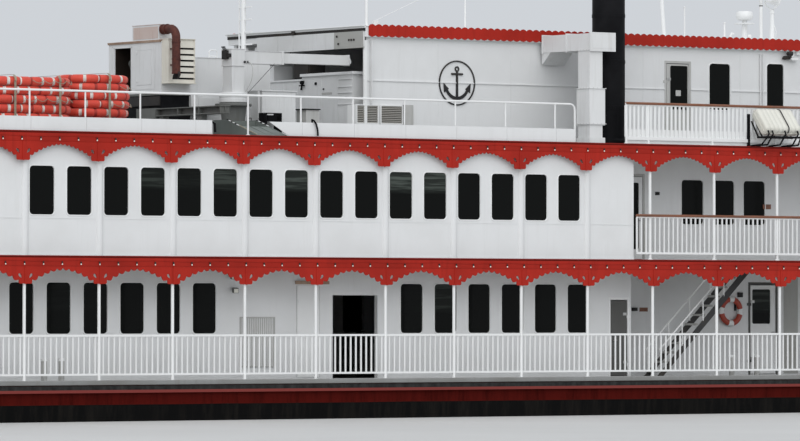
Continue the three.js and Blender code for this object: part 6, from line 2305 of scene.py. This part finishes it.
class STEAMER_OT_searchlight(SteamerOperator):
    """Searchlight, its yoke and its pedestal"""
    bl_idname = "steamer.searchlight"
    bl_label = "Searchlight"

    def build(self, sizes):
        x, y, roof, top = 8.405, -0.7, ROOF + TOUCH, 5.67
        post = Skin()
        post.turned([(0, 0), (0.062, 0), (0.062, 0.014), (0.046, 0.018), (0.038, 0.08), (0.027, 0.3),
                     (0.025, 0.39), (0.033, 0.394), (0.033, 0.4144), (0, 0.4144)], upright(x, y, roof), 24)
        post.box((x + 0.055, x + 0.12), about(y, 0.03), (roof, roof + 0.075))
        post.tube([(x + 0.02, y - 0.04, roof + 0.07), (x + 0.03, y - 0.045, roof + 0.16),
                   (x + 0.012, y - 0.028, roof + 0.24)],
                  0.005, 6)
        post.done("searchlight_pedestal", "ship", "white_paint", "trim_paint", bevel=0.001,
                  replaces=("searchlight_post",))
        yoke = Skin()
        yoke.turned([(0, 0.0004), (0.028, 0.0004), (0.028, 0.02), (0.016, 0.03), (0, 0.032)],
                    upright(x, y, top), 16)
        section = ((-0.013, -1), (0.013, -1), (0.013, 1), (-0.013, 1))
        bends = ((0.0, 0.028), (0.03, 0.034), (0.136, 0.096), (0.1425, 0.11), (0.1425, 0.205))
        for s in (-1, 1):
            yoke.rings([[(x + dx, y + s * (py + dy * 0.006), top + pz) for dx, dy in section]
                        for py, pz in bends])
        yoke.done("searchlight_yoke_arms", "light_yoke", "white_paint", "trim_paint",
                  replaces=("searchlight_yoke",))
        z = top + 0.18
        drum = Skin()
        drum.turned([(0, -0.075), (0.05, -0.075), (0.064, -0.07), (0.07, -0.058), (0.072, -0.04),
                     (0.076, -0.038), (0.076, -0.03), (0.074, -0.028), (0.08, 0.0), (0.084, 0.002),
                     (0.084, 0.01), (0.082, 0.012), (0.09, 0.05), (0.096, 0.053), (0.096, 0.074),
                     (0.088, 0.0745), (0.086, 0.06), (0, 0.058)], along(x, y, z), 32)
        drum.turned(rod(0.012, -0.1345, 0.1345), athwart(x, y, z), 12)
        for k in range(5):
            drum.box((x - 0.06 + 0.014 * k, x - 0.056 + 0.014 * k), about(y, 0.03), (z + 0.066, z + 0.09))
        drum.done("searchlight_drum", "light", "white_paint", "trim_paint", replaces=("searchlight",))
        lens = Skin()
        lens.turned([(0, 0.0585), (0.0855, 0.0595), (0.0855, 0.064), (0.05, 0.07), (0, 0.0725)],
                    along(x, y, z), 32)
        lens.done("searchlight_lens", "light", "lamp_glass", "lamp_glass")


class STEAMER_OT_stairs(SteamerOperator):
    """Steel stairs from the main deck to the second deck"""
    bl_idname = "steamer.stairs"
    bl_label = "Stairs"

    def build(self, sizes):
        foot, head, inner, outer, count = 5.41, 6.89, 1.85, 2.125, 12
        low, rise = MAIN + TOUCH, SECOND - MAIN - 0.0004
        strings, treads, rails = Skin(), Skin(), Skin()
        outline = [(foot - 0.02, low), (foot + 0.07, low), (head, SECOND - 0.11), (head, SECOND - 0.001),
                   (head - 0.01, SECOND - 0.001)]
        for _, side in SIDES:
            for y in (inner, outer - 0.012):
                strings.slab(outline, lambda u, v, w, s=side, y=y: (u, s * (y + w), v), 0, 0.012)
            for i in range(count):
                part = (i + 0.7) / (count + 0.4)
                x, z = foot + part * (head - foot), low + part * rise
                treads.box((x - 0.045, x + 0.055), (side * (inner + 0.0125), side * (outer - 0.0125)),
                           (z - 0.008, z))
                treads.box((x - 0.049, x - 0.045), (side * (inner + 0.0125), side * (outer - 0.0125)),
                           (z - 0.026, z + 0.001))
            slope = (SECOND - MAIN - 0.06) / (head - foot)
            for y in (inner + 0.006, outer - 0.006):
                def along_stair(x, up, y=y, s=side):
                    return (x, s * y, low + 0.06 + (x - foot) * slope + up)
                rails.tube([along_stair(foot + 0.02, 0.25), along_stair(foot + 1.08, 0.25)], 0.0095, 8)
                for k in range(4):
                    x = foot + 0.05 + 0.33 * k
                    rails.tube([along_stair(x, -0.03), along_stair(x, 0.25)], 0.008, 8)
        strings.done("stair_strings", "ship", "steel_grey", "stair_grey", bevel=0.001,
                     replaces=("main_stair_starboard", "main_stair_port"))
        treads.done("stair_treads", "ship", "steel_grey", "pale_grey", bevel=0.001)
        rails.done("stair_handrails", "ship", "white_paint", "trim_paint")


class STEAMER_OT_foredeck(SteamerOperator):
    """Windlass, bitts and jackstaff"""
    bl_idname = "steamer.foredeck"
    bl_label = "Windlass and bitts"

    def build(self, sizes):
        x, axis = 10.9, MAIN + 0.24
        iron = Skin()
        iron.box(about(x, 0.26), (-0.43, 0.43), (MAIN + TOUCH, MAIN + 0.022))
        for s in (-1, 1):
            cheek = [(-0.25, 0.022), (0.25, 0.022), (0.2, 0.12), (0.12, 0.26)]
            cheek += circle((0, 0.25), 0.085, 9, 0.2, math.pi - 0.4)
            cheek += [(-0.12, 0.26), (-0.2, 0.12)]
            iron.slab(cheek, lambda u, v, w, s=s: (x + u, s * (0.42 - w), MAIN + v), 0, 0.05)
            iron.turned([(0, 0.18), (0.13, 0.18), (0.132, 0.196), (0.1, 0.206), (0.088, 0.225),
                         (0.088, 0.255), (0.1, 0.274), (0.132, 0.284), (0.13, 0.3), (0, 0.3)],
                        lambda a, b, h, s=s: (x + a, s * h, axis + b), 24)
            iron.turned([(0, 0.448), (0.094, 0.45), (0.095, 0.462), (0.066, 0.48), (0.058, 0.51),
                         (0.066, 0.54), (0.095, 0.558), (0.09, 0.57), (0, 0.572)],
                        lambda a, b, h, s=s: (x + a, s * h, axis + b), 24)
        iron.turned(rod(0.045, -0.56, 0.56), athwart(x, 0, axis), 20)
        teeth = [(math.cos(a) * r, math.sin(a) * r) for k in range(32) for a, r in
                 ((math.pi * (k - 0.22) / 16, 0.142), (math.pi * (k + 0.22) / 16, 0.142),
                  (math.pi * (k + 0.35) / 16, 0.155), (math.pi * (k + 0.65) / 16, 0.155))]
        iron.slab(teeth, lambda u, v, w: (x + u, w, axis + v), -0.02, 0.02)
        iron.box((x + 0.09, x + 0.24), (-0.1, 0.1), (MAIN + 0.022, MAIN + 0.17))
        iron.done("windlass_body", "ship", "steel_grey", "gear_grey", bevel=0.002, replaces=("windlass",))
        bitts, caps = Skin(), Skin()
        for _, side in SIDES:
            for middle, half in ((-3.555, 0.115), (6.52, 0.2), (-8.2, 0.2), (9.4, 0.2)):
                y = side * (2.43 if middle < 9 else 2.12)
                for s in (-1, 1):
                    px = middle + s * half
                    bitts.turned([(0, 0), (0.045, 0), (0.045, 0.008), (0.034, 0.012), (0.034, 0.235),
                                  (0, 0.235)],
                                 upright(px, y, MAIN + 0.0005), 20)
                    caps.turned([(0, 0.2355), (0.04, 0.236), (0.042, 0.244), (0.04, 0.258), (0.03, 0.266),
                                 (0, 0.268)],
                                upright(px, y, MAIN + 0.0005), 20)
                bitts.box((middle - half - 0.06, middle + half + 0.06), about(y, 0.055),
                          (MAIN + TOUCH, MAIN + 0.01))
        bitts.done("mooring_bitts", "ship", "steel_grey", "pale_grey")
        caps.done("mooring_bitt_caps", "ship", "white_paint", "trim_paint")
        staff = Skin()
        staff.turned([(0, 0), (0.05, 0), (0.05, 0.01), (0.022, 0.016), (0.012, 1.35), (0.02, 1.352),
                      (0.02, 1.37), (0, 1.375)],
                     upright(12.0, 0, MAIN + 0.0005), 16)
        staff.done("jackstaff", "ship", "white_paint", "trim_paint")


def hood(x, z, half_x, half_z, side, steps):
    """Loops of a lamp that stands out of a side wall. steps: share of its size, distance out, drop."""
    corners = ((-1, -1), (1, -1), (1, 1), (-1, 1))
    return [[(x + sx * half_x * share, side * out, z + sz * half_z * share - drop) for sx, sz in corners]
            for share, out, drop in steps]


class STEAMER_OT_wall_gear(SteamerOperator):
    """Lifebuoys, lamps, blank boxes and ceiling lights on the houses"""
    bl_idname = "steamer.wall_gear"
    bl_label = "Wall gear"

    def build(self, sizes):
        buoys, brackets = Skin(), Skin()
        for _, side in SIDES:
            y, many, loops = side * 1.345, 64, []
            for i in range(many):
                a = 2 * math.pi * i / many
                loops.append([(7.195 + (0.15 + 0.037 * math.cos(b)) * math.cos(a), y + 0.026 * math.sin(b),
                               1.855 + (0.15 + 0.037 * math.cos(b)) * math.sin(a))
                              for b in (2 * math.pi * k / 14 for k in range(14))])
            start = len(buoys.faces)
            buoys.rings(loops, closed=True)
            for n in range(start, len(buoys.faces)):
                if ((n - start) // 14 + 3) % 16 < 5:
                    buoys.finish[n] = 1
            brackets.box((7.15, 7.24), (side * 1.3005, side * 1.345), (1.684, 1.696))
            brackets.box((7.09, 7.11), (side * 1.3005, side * 1.322), (1.86, 1.96))
            brackets.box((7.28, 7.30), (side * 1.3005, side * 1.322), (1.86, 1.96))
        buoys.done("lifebuoys", "ship", "float_orange", "buoy_orange", "trim_paint", smooth=60)
        brackets.done("lifebuoy_brackets", "ship", "steel_grey", "dark_steel")
        dark, lamps, glass = Skin(), Skin(), Skin()
        plates, hung, strip = Skin(), Skin(), Skin()
        for _, side in SIDES:
            plates.slab(rectangle(5.77, 5.90, 1.85, 1.90), side_wall(side, LOBBY_HALF), -0.004, 0.0)
            plates.slab(rectangle(7.42, 7.55, 3.13, 3.19), side_wall(side, PROMENADE_HALF), -0.004, 0.0)
            hung.box((8.085, 8.2), (side * 1.4005, side * 1.47), (5.015, 5.05))
            hung.turned([(0, 0), (0.02, 0.004), (0.024, 0.02), (0.024, 0.06), (0, 0.064)],
                        upright(8.12, side * 1.435, 5.0505), 12)
            dark.turned([(0, 0), (0.018, 0.004), (0.02, 0.03), (0.013, 0.07), (0.012, 0.118), (0, 0.12)],
                        along(7.964, side * 1.44, 5.04), 12)
        # A grey strip near the forward end of each lobby wall: painted shade of a recess in the wall.
        for _, side in SIDES:
            strip.slab(rectangle(8.09, 8.32, MAIN + 0.02, 2.34), side_wall(side, LOBBY_HALF), -0.004, 0.0)
        strip.done("lobby_wall_strip", "ship", "deck_grey", "header_grey", bevel=0.001)
        plates.done("blank_wall_plates", "ship", "varnished_wood", "varnished_wood", bevel=0.001)
        hung.done("roof_cameras", "ship", "white_paint", "trim_paint", bevel=0.004)
        for _, side in SIDES:
            dark.box((7.335, 7.408), (side * 1.3005, side * 1.325), (2.03, 2.09))
            dark.box((5.645, 5.72), (side * 1.3005, side * 1.33), (1.857, 1.9))
            dark.box((5.7, 5.765), (side * 1.7005, side * 1.712), (3.285, 3.325))
            for x, z in ((-0.82, 2.10), (-0.85, 2.26)):
                lamps.box(about(x, 0.008), (side * 2.0253, side * 2.06), about(z, 0.01))
                lamps.rings(hood(x, z, 0.035, 0.028, side,
                                 ((0.6, 2.05, 0.0), (1.0, 2.062, 0.002), (1.0, 2.095, 0.012))))
                glass.rings(hood(x, z, 0.030, 0.023, side, ((1.0, 2.0952, 0.012), (0.95, 2.098, 0.013))))
            glass.turned([(0, 0), (0.018, 0), (0.022, 0.03), (0.016, 0.05), (0, 0.054)],
                         upright(5.148, side * 1.33, 1.93), 12)
            lamps.box((5.13, 5.166), (side * 1.3005, side * 1.34), (1.915, 1.93))
        dark.done("wall_boxes", "ship", "gear_black", "dark_steel", bevel=0.001)
        lamps.done("floodlight_cases", "ship", "steel_grey", "gear_grey", bevel=0.001)
        glass.done("floodlight_glasses", "ship", "lamp_glass", "lamp_glass")
        shade = Skin()
        shade.turned([(0.062, 0.0), (0.06, -0.008), (0.048, -0.020), (0.026, -0.028), (0, -0.030)],
                     lambda a, b, h: (a * 1.25, b, h), 16)
        z = SECOND - EDGE - 0.0005
        paths = [[(-8.5, s * 2.25, z), (4.5, s * 2.25, z)] for s in (-1, 1)]
        grow_pieces("side_deck_ceiling_lights", shade, paths, "lamp_glass", "ship", "lamp_glass", 1.0)
        z = THIRD - EDGE - 0.0005
        paths = [[(5.5, s * 2.05, z), (8.5, s * 2.05, z)] for s in (-1, 1)]
        grow_pieces("promenade_ceiling_lights", shade, paths, "lamp_glass", "ship", "lamp_glass", 1.0)
        self.main_wall_panels()

    def main_wall_panels(self):
        panel, bar, vent = Skin(), Skin(), Skin()
        for _, side in SIDES:
            place = side_wall(side, SALOON_HALF)
            panel.slab(rectangle(0.088, 0.405, MAIN + 0.03, 2.15), place, -0.006, 0.0)
            for u in (0.082, 0.409):
                panel.slab(rectangle(u, u + 0.002, MAIN + 0.03, 2.15), place, -0.004, 0.0, finish=1)
            for z in (1.3, 1.95):
                panel.slab(rectangle(0.1, 0.125, z, z + 0.04), place, -0.012, -0.006)
            bar.slab(rectangle(0.06, 0.535, 2.168, 2.206), place, -0.03, 0.0)
            vent.slab(rectangle(-0.724, -0.229, 1.2, 1.785), place, -0.012, 0.0,
                      [rectangle(-0.712, -0.241, 1.212, 1.773)])
        panel.done("fixed_door_panels", "ship", "white_paint", "trim_paint", "pale_grey", bevel=0.001)
        bar.done("fixed_door_heads", "ship", "rust_brown", "rust_streaked", bevel=0.002)
        vent.done("main_wall_louvre_frames", "ship", "deck_grey", "pale_grey", bevel=0.001)
        paths = [[(-0.705, -2.0265, 1.212), (-0.25, -2.0265, 1.212)],
                 [(-0.25, 2.0265, 1.212), (-0.705, 2.0265, 1.212)]]
        grow_bars("main_wall_louvre_bars", paths, "pale_grey", "deck_grey", 0.0285, 0.016, 0.008, 0.561)


# Panel and run

OPERATORS = (
    STEAMER_OT_stage, STEAMER_OT_hull, STEAMER_OT_deck_edges, STEAMER_OT_main_houses, STEAMER_OT_upper_houses,
    STEAMER_OT_top_houses, STEAMER_OT_roof, STEAMER_OT_rails, STEAMER_OT_doors, STEAMER_OT_crane,
    STEAMER_OT_life_floats, STEAMER_OT_ramp, STEAMER_OT_stern_wheel, STEAMER_OT_funnel, STEAMER_OT_air_ducts,
    STEAMER_OT_life_rafts, STEAMER_OT_generator, STEAMER_OT_plant, STEAMER_OT_screen, STEAMER_OT_masts,
    STEAMER_OT_searchlight, STEAMER_OT_stairs, STEAMER_OT_foredeck, STEAMER_OT_wall_gear,
)


class STEAMER_PT_panel(bpy.types.Panel):
    """Builds the steamer's pieces one group at a time"""
    bl_label = "Paddle steamer"
    bl_idname = "STEAMER_PT_panel"
    bl_space_type = "VIEW_3D"
    bl_region_type = "UI"
    bl_category = "Steamer"

    def draw(self, context):
        for operator in OPERATORS:
            self.layout.operator(operator.bl_idname)
        for group in (context.scene.steamer_sizes, context.scene.steamer_colours):
            column = self.layout.column()
            for key in group.__annotations__:
                column.prop(group, key)


CLASSES = (SteamerSizes, SteamerColours, *OPERATORS, STEAMER_PT_panel)


def register():
    for cls in CLASSES:
        bpy.utils.register_class(cls)
    bpy.types.Scene.steamer_sizes = PointerProperty(type=SteamerSizes)
    bpy.types.Scene.steamer_colours = PointerProperty(type=SteamerColours)


def unregister():
    del bpy.types.Scene.steamer_colours
    del bpy.types.Scene.steamer_sizes
    for cls in reversed(CLASSES):
        bpy.utils.unregister_class(cls)


def main():
    register()
    for operator in OPERATORS:
        group, name = operator.bl_idname.split(".")
        getattr(getattr(bpy.ops, group), name)()
    with open("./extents.json", "w") as file:
        json.dump({"cad": [list(c) for c in CAD_BOX], "visual": [list(c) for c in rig.bounds()]}, file)


if __name__ == "__main__":
    main()
